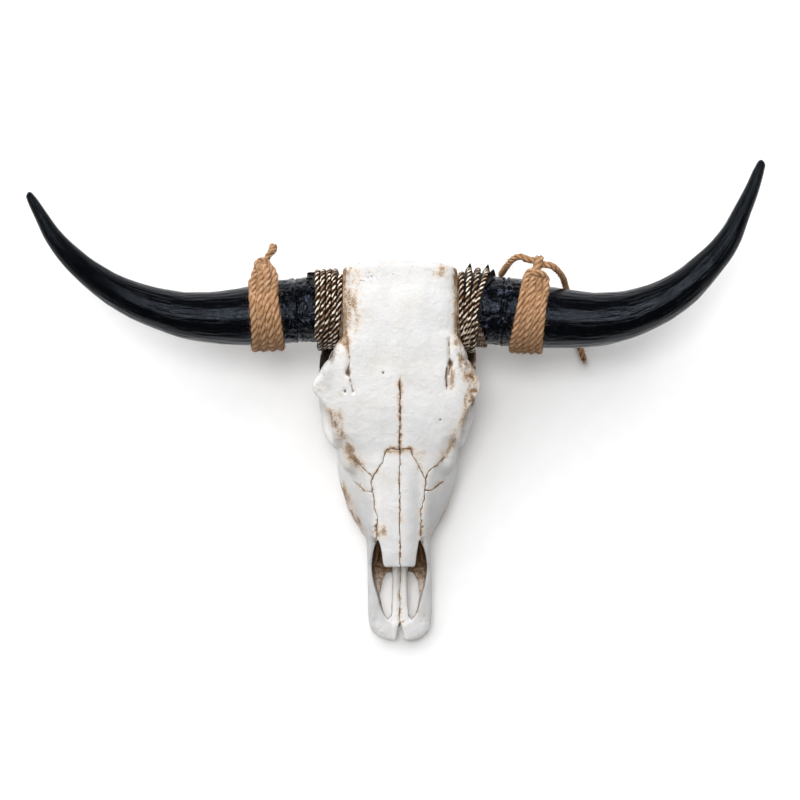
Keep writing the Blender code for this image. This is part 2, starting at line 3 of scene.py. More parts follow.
import bpy
import numpy as np
from bpy.props import FloatProperty, FloatVectorProperty, IntProperty, PointerProperty
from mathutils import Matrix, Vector

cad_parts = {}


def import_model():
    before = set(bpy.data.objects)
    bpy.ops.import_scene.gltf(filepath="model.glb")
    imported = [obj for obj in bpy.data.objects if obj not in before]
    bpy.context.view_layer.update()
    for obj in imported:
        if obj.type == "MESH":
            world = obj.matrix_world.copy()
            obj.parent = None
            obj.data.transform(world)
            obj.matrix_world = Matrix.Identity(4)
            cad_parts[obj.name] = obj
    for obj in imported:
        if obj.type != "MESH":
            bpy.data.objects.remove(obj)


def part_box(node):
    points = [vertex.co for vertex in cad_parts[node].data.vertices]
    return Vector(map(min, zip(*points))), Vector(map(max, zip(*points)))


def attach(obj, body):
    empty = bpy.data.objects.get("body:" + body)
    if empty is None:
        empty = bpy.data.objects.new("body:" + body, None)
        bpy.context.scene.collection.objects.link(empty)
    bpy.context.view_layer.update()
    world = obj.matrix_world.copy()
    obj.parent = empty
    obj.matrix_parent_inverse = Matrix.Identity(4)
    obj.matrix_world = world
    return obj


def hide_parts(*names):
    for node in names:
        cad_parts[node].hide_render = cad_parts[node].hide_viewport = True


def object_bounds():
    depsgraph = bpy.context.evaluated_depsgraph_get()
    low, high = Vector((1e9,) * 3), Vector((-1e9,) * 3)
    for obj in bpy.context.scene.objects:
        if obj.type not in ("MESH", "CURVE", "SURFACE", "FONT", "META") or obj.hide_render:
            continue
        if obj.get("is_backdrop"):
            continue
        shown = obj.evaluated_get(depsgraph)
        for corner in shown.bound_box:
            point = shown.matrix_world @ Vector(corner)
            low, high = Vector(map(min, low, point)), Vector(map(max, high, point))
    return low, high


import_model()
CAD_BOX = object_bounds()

bl_info = {
    "name": "Longhorn skull",
    "version": (1, 0, 0),
    "blender": (4, 5, 0),
    "location": "3D View > Sidebar > Longhorn",
    "description": "A longhorn steer's skull with wound horns, bone by bone",
    "category": "Add Mesh",
}

# Places are (x, s, z) in millimetres: x to the animal's left, s from the poll to the nose, z off the floor.
MM = 0.001
SIDES = {"left": 1, "right": -1}
NASAL_BACK = 257
MIDLINE_GAP = 0.3
POLL = Vector((
    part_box("frontal_left")[0].x - MIDLINE_GAP * MM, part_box("nasal_left")[1].y + NASAL_BACK * MM, 0,
))

# The wound ropes' free ends
TAILS = {
    "jute_tail_short": (
        (175, -5, 167), (166, -9, 168), (156, -7, 161), (149, 0, 147), (144, 7, 127), (141, 12, 104),
    ),
    "jute_tail_long": (
        (211, 6, 165), (218, 11, 156), (226, 20, 136), (232, 31, 106), (238, 43, 72), (244, 60, 38),
        (251, 81, 14), (258, 104, 6.5), (266, 128, 5.4),
    ),
}

# Horns: (x outward, s, z, radius) from inside the base to the tip
HORN_ROUTES = {
    "left": (
        (62, 60, 137, 46), (100, 61, 137, 47.5), (146, 65, 139, 47.5), (205, 73, 142, 42.5),
        (262, 76, 147, 37.6), (302, 72, 153, 34.2), (343, 59, 159, 30.2), (383, 37, 169, 25.6),
        (422, 0, 180, 20.3), (448, -35, 190, 15.6), (463, -68, 196, 11.9), (476, -99, 202, 9.4),
        (484, -122, 205, 7.4), (489, -136, 207, 4.2),
    ),
    "right": (
        (62, 60, 137, 46), (100, 61, 137, 45.5), (152, 64, 139, 44.2), (221, 72, 143, 39.3),
        (248, 73, 145, 36.6), (289, 71, 151, 32.6), (329, 62, 157, 28.6), (370, 47, 165, 24.4),
        (409, 25, 176, 19.8), (448, -9, 190, 14.8), (470, -36, 199, 11.4), (484, -61, 205, 8.8),
        (496, -83, 210, 6.4), (501, -92, 212, 3.6),
    ),
}
HORN_START = 98.4
COLLAR = {"span": (79.5, 126.5), "inside": 0.5, "thickness": 1.9}
COLLAR_VISIBLE = (84, 113)
ROOM_ROUND_HORN = 13.5
BASE_CORD_LIFT = 6.2
JUTE = {
    "left": {"span": (161.8, 198.2), "turns": 4.6, "thicker": 1.03, "slant": 2.4},
    "right": {"span": (167.7, 205.2), "turns": 3.7, "thicker": 1.19, "slant": 0.7},
}

# The top of the skull in side view: (s, z)
DORSAL = (
    (-30, 198), (-10, 201), (0, 203), (15, 205), (40, 205.5), (90, 200), (150, 188), (200, 176), (240, 163),
    (265, 154), (300, 146), (350, 134), (400, 121), (425, 114), (440, 110),
)
# The share by which the animal's right half is wider than drawn, and its left half narrower: (s, share)
LEAN = (
    (100, 0.0), (130, 0.024), (165, 0.044), (185, 0.038), (210, 0.03), (232, 0.055), (255, 0.035),
    (290, 0.03), (335, 0.05), (375, 0.07), (400, 0.035), (450, 0.012), (520, 0.0),
)
# Cheek teeth from the last molar forward: (centre x, length, width)
CHEEK_TEETH = (
    (41, 29, 21), (41.5, 27, 22), (40, 24, 21), (37.5, 19, 18), (34.5, 18, 17), (31, 16, 14),
)
TOOTH_ROW_START = 236
MOLARS = 3


def lengths(name, about, default, low=0.0, high=1.0):
    """A length that the panel shows."""
    return FloatProperty(
        name=name, description=about, default=default, min=low, max=high, unit="LENGTH", precision=4)


def colour(name, about, default):
    """A colour that the panel shows."""
    return FloatVectorProperty(
        name=name, description=about, default=default, size=3, subtype="COLOR", min=0, max=1)


class BoneSettings(bpy.types.PropertyGroup):
    detail: lengths("Detail", "Size of the bone meshes' faces", 0.00135, 0.0008, 0.005)
    suture: lengths("Suture gap", "Width of the gaps between the bones", 0.0004, 0.0002, 0.003)
    zigzag: lengths("Suture zigzag", "How far the sutures wander to each side", 0.0011, 0.0, 0.004)
    roughness_height: lengths("Surface relief", "Height of the bone's small unevenness", 0.0003, 0.0, 0.002)
    white: colour("Bone", "Colour of clean bone", (0.795, 0.790, 0.785))
    # The ochre and the brown also colour painted shade: in the hollows, the nasal passage, beside the cords,
    # on the shaded ovals and in the temple hollows.
    ochre: colour("Stain", "Colour of the stain in hollows and along sutures", (0.40, 0.235, 0.115))
    wash: colour("Pale stain", "The thin wash round the stains", (0.74, 0.60, 0.45))
    brown: colour("Cracks", "Colour deep in the cracks and pores", (0.125, 0.060, 0.020))
    enamel: colour("Teeth", "Colour of the teeth", (0.62, 0.53, 0.38))


class HornSettings(bpy.types.PropertyGroup):
    ridges: lengths("Ridge height", "Height of the fine ridges along the horn", 0.00035, 0.0, 0.002)
    groove: lengths("Ring groove", "Depth of the groove round the horn's base", 0.0020, 0.0, 0.004)
    sides: IntProperty(name="Sides", description="Faces round the horn", default=140, min=16, max=400)
    black: colour("Horn", "Colour of the horn", (0.0011, 0.0012, 0.0018))
    # This colour, twenty times brighter, also gives the painted highlights on the hammered facets.
    dust_and_glint: colour("Worn horn", "Colour of the horn's worn ridges", (0.0042, 0.0048, 0.0072))
    leather: colour("Leather", "Colour of the collar under the base cord", (0.008, 0.007, 0.0065))


class RopeSettings(bpy.types.PropertyGroup):
    jute_diameter: lengths("Jute", "Diameter of the jute rope", 0.0092, 0.004, 0.02)
    jute_lay: lengths("Jute lay", "Length of one twist of the jute", 0.0325, 0.01, 0.1)
    cord_diameter: lengths("Base cord", "Diameter of the cord at the horns' base", 0.0082, 0.003, 0.02)
    cord_lay: lengths("Base cord lay", "Length of one twist of the base cord", 0.028, 0.005, 0.1)
    fibres: IntProperty(
        name="Loose fibres", description="Loose fibres on each jute wrap", default=1800, min=0, max=5000)
    jute: colour("Jute", "Colour of the jute's outer fibres", (0.395, 0.215, 0.106))
    jute_pale: colour("Pale jute", "Colour of the jute's palest fibres", (0.66, 0.44, 0.28))
    # jute_dark is painted shade between the strands.
    jute_dark: colour("Jute hollows", "Colour between the jute's strands", (0.105, 0.038, 0.008))
    gold: colour("Cord highlights", "Colour rubbed on the base cord's crests", (0.95, 0.82, 0.66))
    cord_middle: colour("Base cord", "Colour of the base cord's sides", (0.17, 0.085, 0.036))
    # cord_dark is painted shade in the cord's hollows.
    cord_dark: colour("Cord hollows", "Colour of the base cord's hollows", (0.006, 0.003, 0.0015))


class StageSettings(bpy.types.PropertyGroup):
    camera_height: lengths("Camera height", "Height of the camera over the floor", 3.0, 0.5, 10.0)
    half_view: lengths("Half view", "Half the width of floor in view", 0.5794, 0.1, 5.0)
    camera_s: lengths("Camera place", "How far the camera stands in front of the poll", 0.187, -1.0, 1.0)
    floor: colour("Floor", "Colour of the floor", (0.94, 0.94, 0.94))
    overhead: FloatProperty(
        name="Overhead light", description="Strength of the wide light overhead", default=1.25, min=0)
    key: FloatProperty(
        name="Side light", description="Strength of the light from the side", default=3.46, min=0)
    surround: FloatProperty(
        name="Surround", description="Brightness of the studio around", default=0.07, min=0)


# Numbers and noise

def profile(rows):
    """A smooth curve through (place, value) rows that never overshoots, and is flat past its ends."""
    table = np.array(rows, float)
    x, y = table[:, 0], table[:, 1]
    gap = np.diff(x)
    slope = np.diff(y) / gap
    tangent = np.zeros(len(x))
    for i in range(1, len(x) - 1):
        if slope[i - 1] * slope[i] > 0:
            w1, w2 = 2 * gap[i] + gap[i - 1], gap[i] + 2 * gap[i - 1]
            tangent[i] = (w1 + w2) / (w1 / slope[i - 1] + w2 / slope[i])
    tangent[0], tangent[-1] = slope[0], slope[-1]

    def at(place):
        place = np.clip(place, x[0], x[-1])
        i = np.clip(np.searchsorted(x, place, side="right") - 1, 0, len(gap) - 1)
        u = (place - x[i]) / gap[i]
        return ((2 * u**3 - 3 * u**2 + 1) * y[i] + (u**3 - 2 * u**2 + u) * gap[i] * tangent[i]
                + (3 * u**2 - 2 * u**3) * y[i + 1] + (u**3 - u**2) * gap[i] * tangent[i + 1])
    return at


# The height of the skull's top at each distance from the poll
dorsal = profile(DORSAL)


def leaned(x, s):
    """Places out from the midline with the LEAN of the skull's two halves."""
    places, shares = zip(*LEAN)
    share = np.interp(s, places, shares)
    return x * np.where(x < 0, 1 + share, 1 - share)


def unit(ways):
    """Directions of length 1."""
    return ways / np.linalg.norm(ways, axis=1, keepdims=True)


def run_of(line):
    """How far along a line each of its points lies."""
    return np.concatenate([[0], np.cumsum(np.linalg.norm(np.diff(line, axis=0), axis=1))])


def catmull(points, step):
    """Points along a smooth curve through the given ones, a step apart."""
    line = np.array(points, float)
    ends = np.vstack([2 * line[0] - line[1], line, 2 * line[-1] - line[-2]])
    u = np.linspace(0, 1, 24, endpoint=False)[:, None]
    fine = []
    for i in range(1, len(ends) - 2):
        a, b, c, d = ends[i - 1:i + 3]
        second, third = 2 * a - 5 * b + 4 * c - d, 3 * b - a - 3 * c + d
        fine.append(0.5 * (2 * b + (c - a) * u + second * u**2 + third * u**3))
    return even(np.vstack([*fine, line[-1:]]), step)


def even(line, step):
    """The same line with its points a step apart."""
    run = run_of(line)
    count = max(2, int(round(run[-1] / step)) + 1)
    at = np.linspace(0, run[-1], count)
    return np.column_stack([np.interp(at, run, line[:, k]) for k in range(line.shape[1])])


def hashed(cell, seed):
    """A number from 0 to 1 for each whole-number cell."""
    n = cell[..., 0] * 73856093 ^ cell[..., 1] * 19349663 ^ cell[..., 2] * 83492791 ^ (seed * 2654435761)
    n &= 0xFFFFFFFF
    n = ((n ^ (n >> 15)) * 2246822519) & 0xFFFFFFFF
    n = ((n ^ (n >> 13)) * 3266489917) & 0xFFFFFFFF
    return ((n ^ (n >> 16)) & 0xFFFFFF) / 0xFFFFFF


def noise(points, size, seed=1):
    """Smooth noise from -1 to 1 with features of about the given size."""
    place = np.asarray(points, float) / size
    cell = np.floor(place).astype(np.int64)
    u = place - cell
    u = u * u * (3 - 2 * u)
    total = 0
    for corner in np.ndindex(2, 2, 2):
        weight = np.prod(np.where(corner, u, 1 - u), axis=-1)
        total = total + weight * hashed(cell + corner, seed)
    return total * 2 - 1


def layers(points, size, count=3, seed=1):
    """Noise in layers, each half the size and the strength of the one before."""
    total = sum(noise(points, size / 2**k, seed + k) / 2**k for k in range(count))
    return total / (2 - 2 / 2**count)


def noise_along(run, size, seed, lane=0.0, row=0.0):
    """Noise along a line; another lane or row gives another pattern."""
    return noise(np.column_stack([run, run * 0 + lane, run * 0 + row]), size, seed)


def pits(points, size, seed=5):
    """Distance to the nearest of points strewn about one to a cell, in cells."""
    place = np.asarray(points, float) / size
    cell = np.floor(place).astype(np.int64)
    best = np.full(len(place), 9.0)
    for neighbour in np.ndindex(3, 3, 3):
        near = cell + neighbour - 1
        seedling = np.stack([hashed(near, seed + n) for n in range(3)], axis=-1)
        best = np.minimum(best, np.linalg.norm(near + seedling - place, axis=1))
    return best


def rise(value, low, high):
    """0 below low, 1 above high and smooth between."""
    u = np.clip((value - low) / (high - low), 0, 1)
    return u * u * (3 - 2 * u)


# Modelling bone as a field of distances, negative inside

def blend_max(a, b, width):
    """The greater of two fields, rounded where they are about equal."""
    h = np.maximum(width - np.abs(a - b), 0) / width
    return np.maximum(a, b) + h * h * width / 4


class Clay:
    """A block of space round the animal's left half of the skull, on which shapes are added and carved."""

    FAR = 40.0

    def __init__(self, step, low=(0, -22, -5), high=(136, 536, 216)):
        self.step = step
        self.axes = [np.arange(a, b + step, step) for a, b in zip(low, high)]
        self.f = np.full([len(axis) for axis in self.axes], self.FAR, np.float32)

    def window(self, low, high, spare):
        """The part of the block near a box, and its grid of places."""
        cut = []
        for axis, a, b in zip(self.axes, low, high):
            first = int(np.searchsorted(axis, a - spare))
            cut.append(slice(first, max(first, int(np.searchsorted(axis, b + spare)))))
        grid = np.meshgrid(*(axis[part].astype(np.float32) for axis, part in zip(self.axes, cut)),
                           indexing="ij", sparse=True)
        return tuple(cut), grid

    def add(self, shape, blend):
        """Join a shape on, with a rounding of about the blend's width."""
        distance, low, high = shape
        cut, grid = self.window(low, high, blend + 2 * self.step)
        self.f[cut] = -blend_max(-self.f[cut], -distance(*grid), blend)

    def carve(self, shape, blend):
        """Cut a shape out."""
        distance, low, high = shape
        cut, grid = self.window(low, high, blend + 2 * self.step)
        self.f[cut] = blend_max(self.f[cut], -distance(*grid), blend)


def section(rows, power, blend):
    """A rounded block swept from the poll to the nose; a row is (s, half width, low z, high z)."""
    half, low, high = (profile([(row[0], row[k]) for row in rows]) for k in (1, 2, 3))
    start, end = rows[0][0], rows[-1][0]

    def distance(x, s, z):
        h, lo, hi = half(s), low(s), high(s)
        middle, tall = (lo + hi) / 2, (hi - lo) / 2
        u, v = np.abs(x) / h, np.abs(z - middle) / tall
        q = np.maximum((u**power + v**power) ** (1 / power), 0.05)
        slope = q ** (1 - power) * np.hypot(u ** (power - 1) / h, v ** (power - 1) / tall)
        side = (q - 1) / np.maximum(slope, 1e-3)
        return blend_max(np.clip(side, -60, 60), np.maximum(start - s, s - end) + 0 * side, blend)
    widest = max(row[1] for row in rows)
    lowest, highest = min(row[2] for row in rows), max(row[3] for row in rows)
    return distance, (-widest, start, lowest), (widest, end, highest)


def bar(*points, thin=None, smooth=True):
    """A rounded bar through (x, s, z, radius) points; thin is a direction in which it is so much thinner."""
    line = catmull(points, 6.0) if smooth and len(points) > 2 else np.array(points, float)
    way, ratio = (None, 1) if thin is None else (np.array(thin[0], float) / np.linalg.norm(thin[0]), thin[1])

    def distance(x, s, z):
        best = None
        for a, b in zip(line, line[1:]):
            ahead = b[:3] - a[:3]
            vx, vs, vz = x - a[0], s - a[1], z - a[2]
            t = np.clip((vx * ahead[0] + vs * ahead[1] + vz * ahead[2]) / float(ahead @ ahead), 0, 1)
            wx, ws, wz = vx - t * ahead[0], vs - t * ahead[1], vz - t * ahead[2]
            if way is not None:
                more = (wx * way[0] + ws * way[1] + wz * way[2]) * (ratio - 1)
                wx, ws, wz = wx + more * way[0], ws + more * way[1], wz + more * way[2]
            reach = np.sqrt(wx * wx + ws * ws + wz * wz) - (a[3] + t * (b[3] - a[3]))
            best = reach if best is None else np.minimum(best, reach)
        return best
    radius = line[:, 3:4]
    return distance, (line[:, :3] - radius).min(0), (line[:, :3] + radius).max(0)


def lump(at, radii, turn=0.0, power=2.0):
    """An ellipsoid turned about the vertical, or with a higher power a rounded block."""
    c, n = math.cos(math.radians(turn)), math.sin(math.radians(turn))
    small = min(radii)

    def distance(x, s, z):
        vx, vs, vz = x - at[0], s - at[1], z - at[2]
        a = np.abs(c * vx + n * vs) / radii[0]
        b = np.abs(c * vs - n * vx) / radii[1]
        d = np.abs(vz) / radii[2]
        return ((a**power + b**power + d**power) ** (1 / power) - 1) * small
    reach = np.array((max(radii[:2]), max(radii[:2]), radii[2]))
    return distance, np.array(at) - reach, np.array(at) + reach


def plate(outline, low, high, round_by=3.0):
    """An (x, s) outline made solid between two heights."""
    points = np.array(outline, float)

    def distance(x, s, z):
        return blend_max(polygon(x, s, points), np.maximum(low - z, z - high) + 0 * x * s, round_by)
    return distance, (*points.min(0), low), (*points.max(0), high)


def polygon(a, b, points):
    """Distance to a closed outline in a plane, negative inside."""
    a, b = np.broadcast_arrays(a, b)
    best = np.full(a.shape, 1e9)
    inside = np.zeros(a.shape, bool)
    for (x0, y0), (x1, y1) in zip(points, np.roll(points, -1, axis=0)):
        ex, ey = x1 - x0, y1 - y0
        wx, wy = a - x0, b - y0
        t = np.clip((wx * ex + wy * ey) / (ex * ex + ey * ey), 0, 1)
        best = np.minimum(best, (wx - t * ex) ** 2 + (wy - t * ey) ** 2)
        if y1 != y0:
            inside ^= ((y0 > b) != (y1 > b)) & (wx < ex * wy / ey)
    return np.where(inside, -1, 1) * np.sqrt(best)


def flanks(rows):
    """The face's sides; a row is (s, roof half, widest half, its z, foot half, foot z) from brow to nose."""
    z = np.linspace(0, 210, 211)
    places = np.array([row[0] for row in rows], float)
    shapes = []
    for s, top_half, wide_half, wide_z, foot_half, foot_z in rows:
        top = float(dorsal(s))
        knots = (
            (foot_z, foot_half - 5), (foot_z + 6, foot_half),
            ((wide_z + foot_z) / 2, (wide_half + foot_half) / 2 + 1), (wide_z, wide_half),
            ((top - 9 + wide_z) / 2, top_half * 0.45 + wide_half * 0.55 + 2),
            (top - 9, top_half), (top, top_half * 0.82), (top + 8, top_half * 0.5),
        )
        shapes.append(profile(knots)(z))
    shapes = np.array(shapes)
    fine = np.arange(places[0], places[-1] + 1)
    table = np.stack([profile(list(zip(places, shapes[:, k])))(fine) for k in range(len(z))], axis=1)
    slope = np.hypot(*np.gradient(table))
    foot = profile([(row[0], row[5]) for row in rows])

    def distance(x, s, z_):
        i = np.clip(np.round(s - fine[0]).astype(int), 0, len(fine) - 1)
        j = np.clip(z_, 0, 209.999)
        k = j.astype(int)
        share = j - k
        wide = table[i, k] * (1 - share) + table[i, k + 1] * share
        side = (np.abs(x) - wide) / np.sqrt(1 + slope[i, k]**2)
        top = z_ - dorsal(s) + 0 * x
        bottom = foot(s) - z_ + 0 * x
        ends = np.maximum(places[0] - s, s - places[-1]) + 0 * x
        return blend_max(blend_max(blend_max(side, top, 7), bottom, 4), ends, 6)
    widest = max(row[2] for row in rows)
    return distance, (-widest, places[0], 10), (widest, places[-1], 180)


def cranium(clay):
    """The brow, the braincase, the poll, the horn core and the skull's underside behind the teeth."""
    clay.add(section((
        (0, 58, 148, 198), (4, 71, 138, 202.5), (9, 77, 130, 204), (18, 78.5, 124, 205),
        (45, 78.5, 118, 205.5), (90, 78, 125, 200), (108, 85, 138, 197), (122, 91.5, 142, 194),
        (130, 94, 143, 192), (138, 99.5, 144, 190), (150, 105, 145, 188), (166, 109, 145, 184),
        (176, 107, 142, 181.5), (190, 97, 136, 178.5), (206, 90, 130, 174.5), (226, 87, 120, 168),
        (244, 80, 108, 152), (262, 74, 96, 140),
    ), power=3.6, blend=8), 1)
    clay.add(section((
        (14, 46, 60, 178), (24, 60, 54, 186), (50, 62, 54, 190), (100, 54, 52, 185), (150, 48, 50, 178),
        (200, 46, 46, 168), (235, 52, 40, 150),
    ), power=2.2, blend=8), 14)
    poll_ridge = bar((0, 12, 176, 14), (14, 12.5, 176, 14), (32, 14, 175, 14), (50, 17, 172, 14),
                     (66, 22, 165, 14), (74, 34, 158, 12))
    nape_crest = bar((0, 10, 128, 4), (0, 14, 112, 3), (0, 18, 104, 3))
    horn_core = bar((30, 60, 140, 44), (60, 60, 138, 50), (110, 61, 137, 47))
    core_to_brow = bar((40, 100, 150, 34), (70, 92, 142, 29), smooth=False)
    nape_edge = bar((48, 36, 150, 22), (56, 36, 124, 20), (64, 36, 98, 16), (63, 36, 78, 14))
    process = bar((56, 30, 84, 17), (59, 33, 60, 13.5), (57, 37, 34, 10.5), (52.5, 40.5, 12, 8),
                  (51, 42, -2, 6.6), thin=((0.35, 1, 0), 1.35))
    process_keel = bar((49, 24, 70, 5), (56, 27, 48, 3.5), (56, 32, 28, 2.5))
    base_keel = bar((0, 16, 62, 14), (0, 60, 58, 15), (0, 100, 56, 13), (0, 150, 56, 11), (0, 186, 60, 8))
    base_knob = bar((8, 62, 50, 7), (17, 66, 46, 6))
    ear_spine = bar((40, 58, 46, 5), (39, 50, 36, 3.6), (37, 44, 29, 2.2))
    ear_canal = bar((50, 62, 92, 15), (70, 62, 88, 10.5), (82, 63, 86, 7.5))
    temple_crest = bar((70, 40, 118, 6), (76, 52, 104, 6.5), (80, 70, 92, 6), (80, 92, 86, 7))
    wing = bar((22, 150, 56, 7), (22, 172, 45, 5), (21, 194, 38, 4.5), (23, 214, 34, 5), (25, 232, 32, 6),
               thin=((1, 0, 0), 1.5))
    wing_hook = bar((21, 190, 40, 5), (22, 184, 29, 3.6), (23.5, 177, 20, 2.6))
    nape_boss = lump((0, 22, 132), (12, 16, 16))
    condyle = lump((27, 16, 76), (18, 14, 24), 18)
    ear_bulla = lump((36, 70, 58), (12, 20, 18), 12)
    for shape, blend in (
        (poll_ridge, 8), (nape_boss, 8), (nape_crest, 5), (horn_core, 12), (core_to_brow, 14),
        (nape_edge, 10), (process, 6), (process_keel, 5), (base_keel, 8), (condyle, 5), (base_knob, 5),
        (ear_bulla, 4), (ear_spine, 3), (ear_canal, 5), (temple_crest, 5), (wing, 5), (wing_hook, 3),
    ):
        clay.add(shape, blend)


def orbit_ring(clay):
    """The brow over the orbit, the ring round it and the cheek arch behind it."""
    brow_corner = lump((84, 168, 162), (22, 30, 18))
    back_post = bar((100, 162, 171, 9), (105.5, 162, 152, 7.5), (105, 161, 125, 7.5), (102, 163, 104, 8),
                    (100, 174, 90, 8.5), thin=((0, 1, 0.15), 1.25))
    rim = bar((104, 162, 168, 7.5), (107, 172, 170.5, 6), (99, 185, 170, 5.5), (90, 199, 166.5, 5.5),
              (85, 214, 160, 6), (82, 230, 150, 7), (81.5, 241, 136, 7.5), (84, 246, 118, 8),
              (89, 240, 100, 8.5), (95.5, 224, 89, 8.5), (99.5, 200, 84, 8), (101, 182, 84, 8))
    rim_knob = lump((104, 169, 167), (11, 9, 10), 20, 2.6)
    cheek_arch = bar((72, 262, 86, 10), (88, 236, 82, 11), (98, 212, 79, 10.5), (102, 190, 79, 9),
                     (104, 165, 81, 8), (104.5, 142, 82, 7.5), (103, 122, 81, 8), (95, 106, 80, 10),
                     (78, 97, 77, 13), (54, 94, 75, 15), thin=((1, 0, 0), 1.3))
    cheek_edge = bar((101, 190, 72, 6), (96, 214, 68, 6), (84, 240, 66, 7), (72, 264, 62, 8))
    tear_bulge = lump((66, 258, 112), (16, 30, 26))
    jaw_seat = lump((78, 100, 72), (15, 10, 9))
    jaw_seat_edge = bar((62, 108, 66, 6), (86, 106, 66, 6))
    for shape, blend in (
        (brow_corner, 12), (back_post, 6), (rim, 6), (rim_knob, 4), (cheek_arch, 6), (cheek_edge, 7),
        (tear_bulge, 10), (jaw_seat, 5), (jaw_seat_edge, 4),
    ):
        clay.add(shape, blend)


def face(clay):
    """The cheeks, the snout and the nasal bones' roof."""
    clay.add(flanks((
        (212, 76, 84, 122, 58, 48), (225, 72, 83, 118, 58, 44), (262, 57, 82, 92, 53, 26),
        (285, 47, 80, 72, 53, 21), (310, 41, 77.5, 62, 52, 20), (333, 38, 73, 57, 51, 20),
        (352, 36, 65.5, 54, 49, 20.5), (366, 35, 57, 49, 46, 21.5), (382, 32, 48, 42, 43, 24),
    )), 7)
    cheek_ridge = bar((78, 262, 76, 6), (80, 284, 66, 6), (74, 306, 60, 7), (66, 322, 57, 6),
                      (58, 342, 54, 5))
    snout = section((
        (362, 44, 22, 104), (378, 45, 23, 97), (402, 45.5, 24, 81), (430, 45.5, 24, 66),
        (460, 45.5, 23, 54), (485, 45.5, 22, 46), (502, 44.5, 21, 40), (515, 42, 21, 36.5),
        (523, 36, 21, 34), (528, 28, 21.5, 32), (532, 16, 23, 30),
    ), power=3.4, blend=3)
    nasal_roof = section((
        (330, 33, 116, 138.7), (345, 32, 119, 135.2), (378, 28.5, 112, 126.8), (400, 24.6, 109, 121),
        (415, 23, 106.5, 116.8), (424, 20, 105.5, 114.2), (428, 16, 106, 112.6),
    ), power=3.2, blend=2)
    snout_edge = bar((33, 352, 104, 8), (34, 374, 97, 6), (37.5, 392, 87, 4.5), (40.5, 416, 73, 3.5))
    for shape, blend in ((cheek_ridge, 7), (snout, 5), (nasal_roof, 3), (snout_edge, 5)):
        clay.add(shape, blend)
    clay.carve(above_roof(), 2.5)


def above_roof():
    """The space over the brow and the nose, which are a little arched from side to side."""
    half = profile([
        (0, 80), (120, 90), (200, 92), (240, 78), (262, 60), (300, 41), (350, 34), (425, 21),
    ])
    drop = profile([
        (0, 5), (60, 4), (130, 5), (200, 9), (240, 11), (262, 10), (300, 9.5), (350, 9), (400, 7), (425, 5),
    ])

    def distance(x, s, z):
        return dorsal(s) - drop(s) * np.minimum((x / half(s)) ** 2, 1.3) + 0.4 - z
    return distance, (-130, -20, 96), (130, 426, 216)


# Half outlines (x, s) of the nose's opening, its deeper sides, the gaps beside the rods and the end's notch
NOSE_OPENING = (
    (-20, 420), (37.8, 420), (38.3, 436), (36, 450), (31, 467), (28, 480), (24, 491), (18, 501), (12, 505),
    (-20, 505),
)
NOSE_TROUGH = (
    (12, 432), (35.5, 424), (36.5, 438), (34, 451), (29.6, 467), (26.6, 480), (22.5, 491), (17, 499.5),
    (12.5, 496),
)
NOSE_GAP = (
    (10.4, 441), (12, 433), (19, 435), (26, 447), (28.4, 467), (25.5, 484), (21, 496), (16.5, 501),
    (12.6, 495), (11.2, 470),
)
SNOUT_NOTCH = ((-20, 512), (2.0, 512), (4.2, 520), (6.8, 545), (-20, 545))


def carve_nose(clay):
    """The nasal passage, open in front, with the scrolls inside and the rods along the midline."""
    clay.carve(section((
        (262, 10, 60, 96), (322, 15, 60, 96), (345, 20, 56, 104), (372, 25, 48, 108), (384, 30, 42, 109.5),
        (400, 36, 38, 107), (418, 38.3, 36, 105.5), (432, 38.3, 36, 104),
    ), power=4.5, blend=2), 2)
    clay.carve(plate(NOSE_OPENING, 38, 200, 2), 3)
    clay.carve(plate(NOSE_TROUGH, 33, 60, 2), 2)
    side_slit = bar((29, 364, 113, 0.6), (30, 372, 110, 2.4), (32, 384, 106, 4.5), (33, 400, 98, 5))
    floor_ridge = bar((0, 360, 46, 4), (0, 400, 40, 4), (0, 424, 36, 4))
    rod = bar((5.9, 416, 37, 4.6), (5.9, 450, 36, 4.8), (6.1, 482, 34.5, 5), (6.6, 510, 31.5, 6.6))
    rod_groove = bar((0, 420, 43.4, 1.6), (0, 470, 41.5, 1.5), (0, 500, 39.5, 1.8), (0, 512, 38, 2.6))
    upper_scroll = bar((19, 300, 92, 5), (21, 345, 90, 6), (22, 378, 84, 4.5), (23, 396, 76, 2.5),
                       thin=((1, 0, 0), 2))
    lower_scroll = bar((22, 330, 66, 6), (27, 372, 62, 6), (31, 404, 58, 4), (33, 420, 56, 2),
                       thin=((1, 0, -0.5), 1.8))
    septum = bar((0, 300, 62, 3.5), (0, 350, 58, 3.2), (0, 392, 52, 3), thin=((1, 0, 0), 1.4))
    clay.carve(side_slit, 2)
    clay.add(floor_ridge, 3)
    clay.add(rod, 1.6)
    clay.carve(rod_groove, 1.2)
    for shape, blend in ((upper_scroll, 2), (lower_scroll, 2), (septum, 3)):
        clay.add(shape, blend)


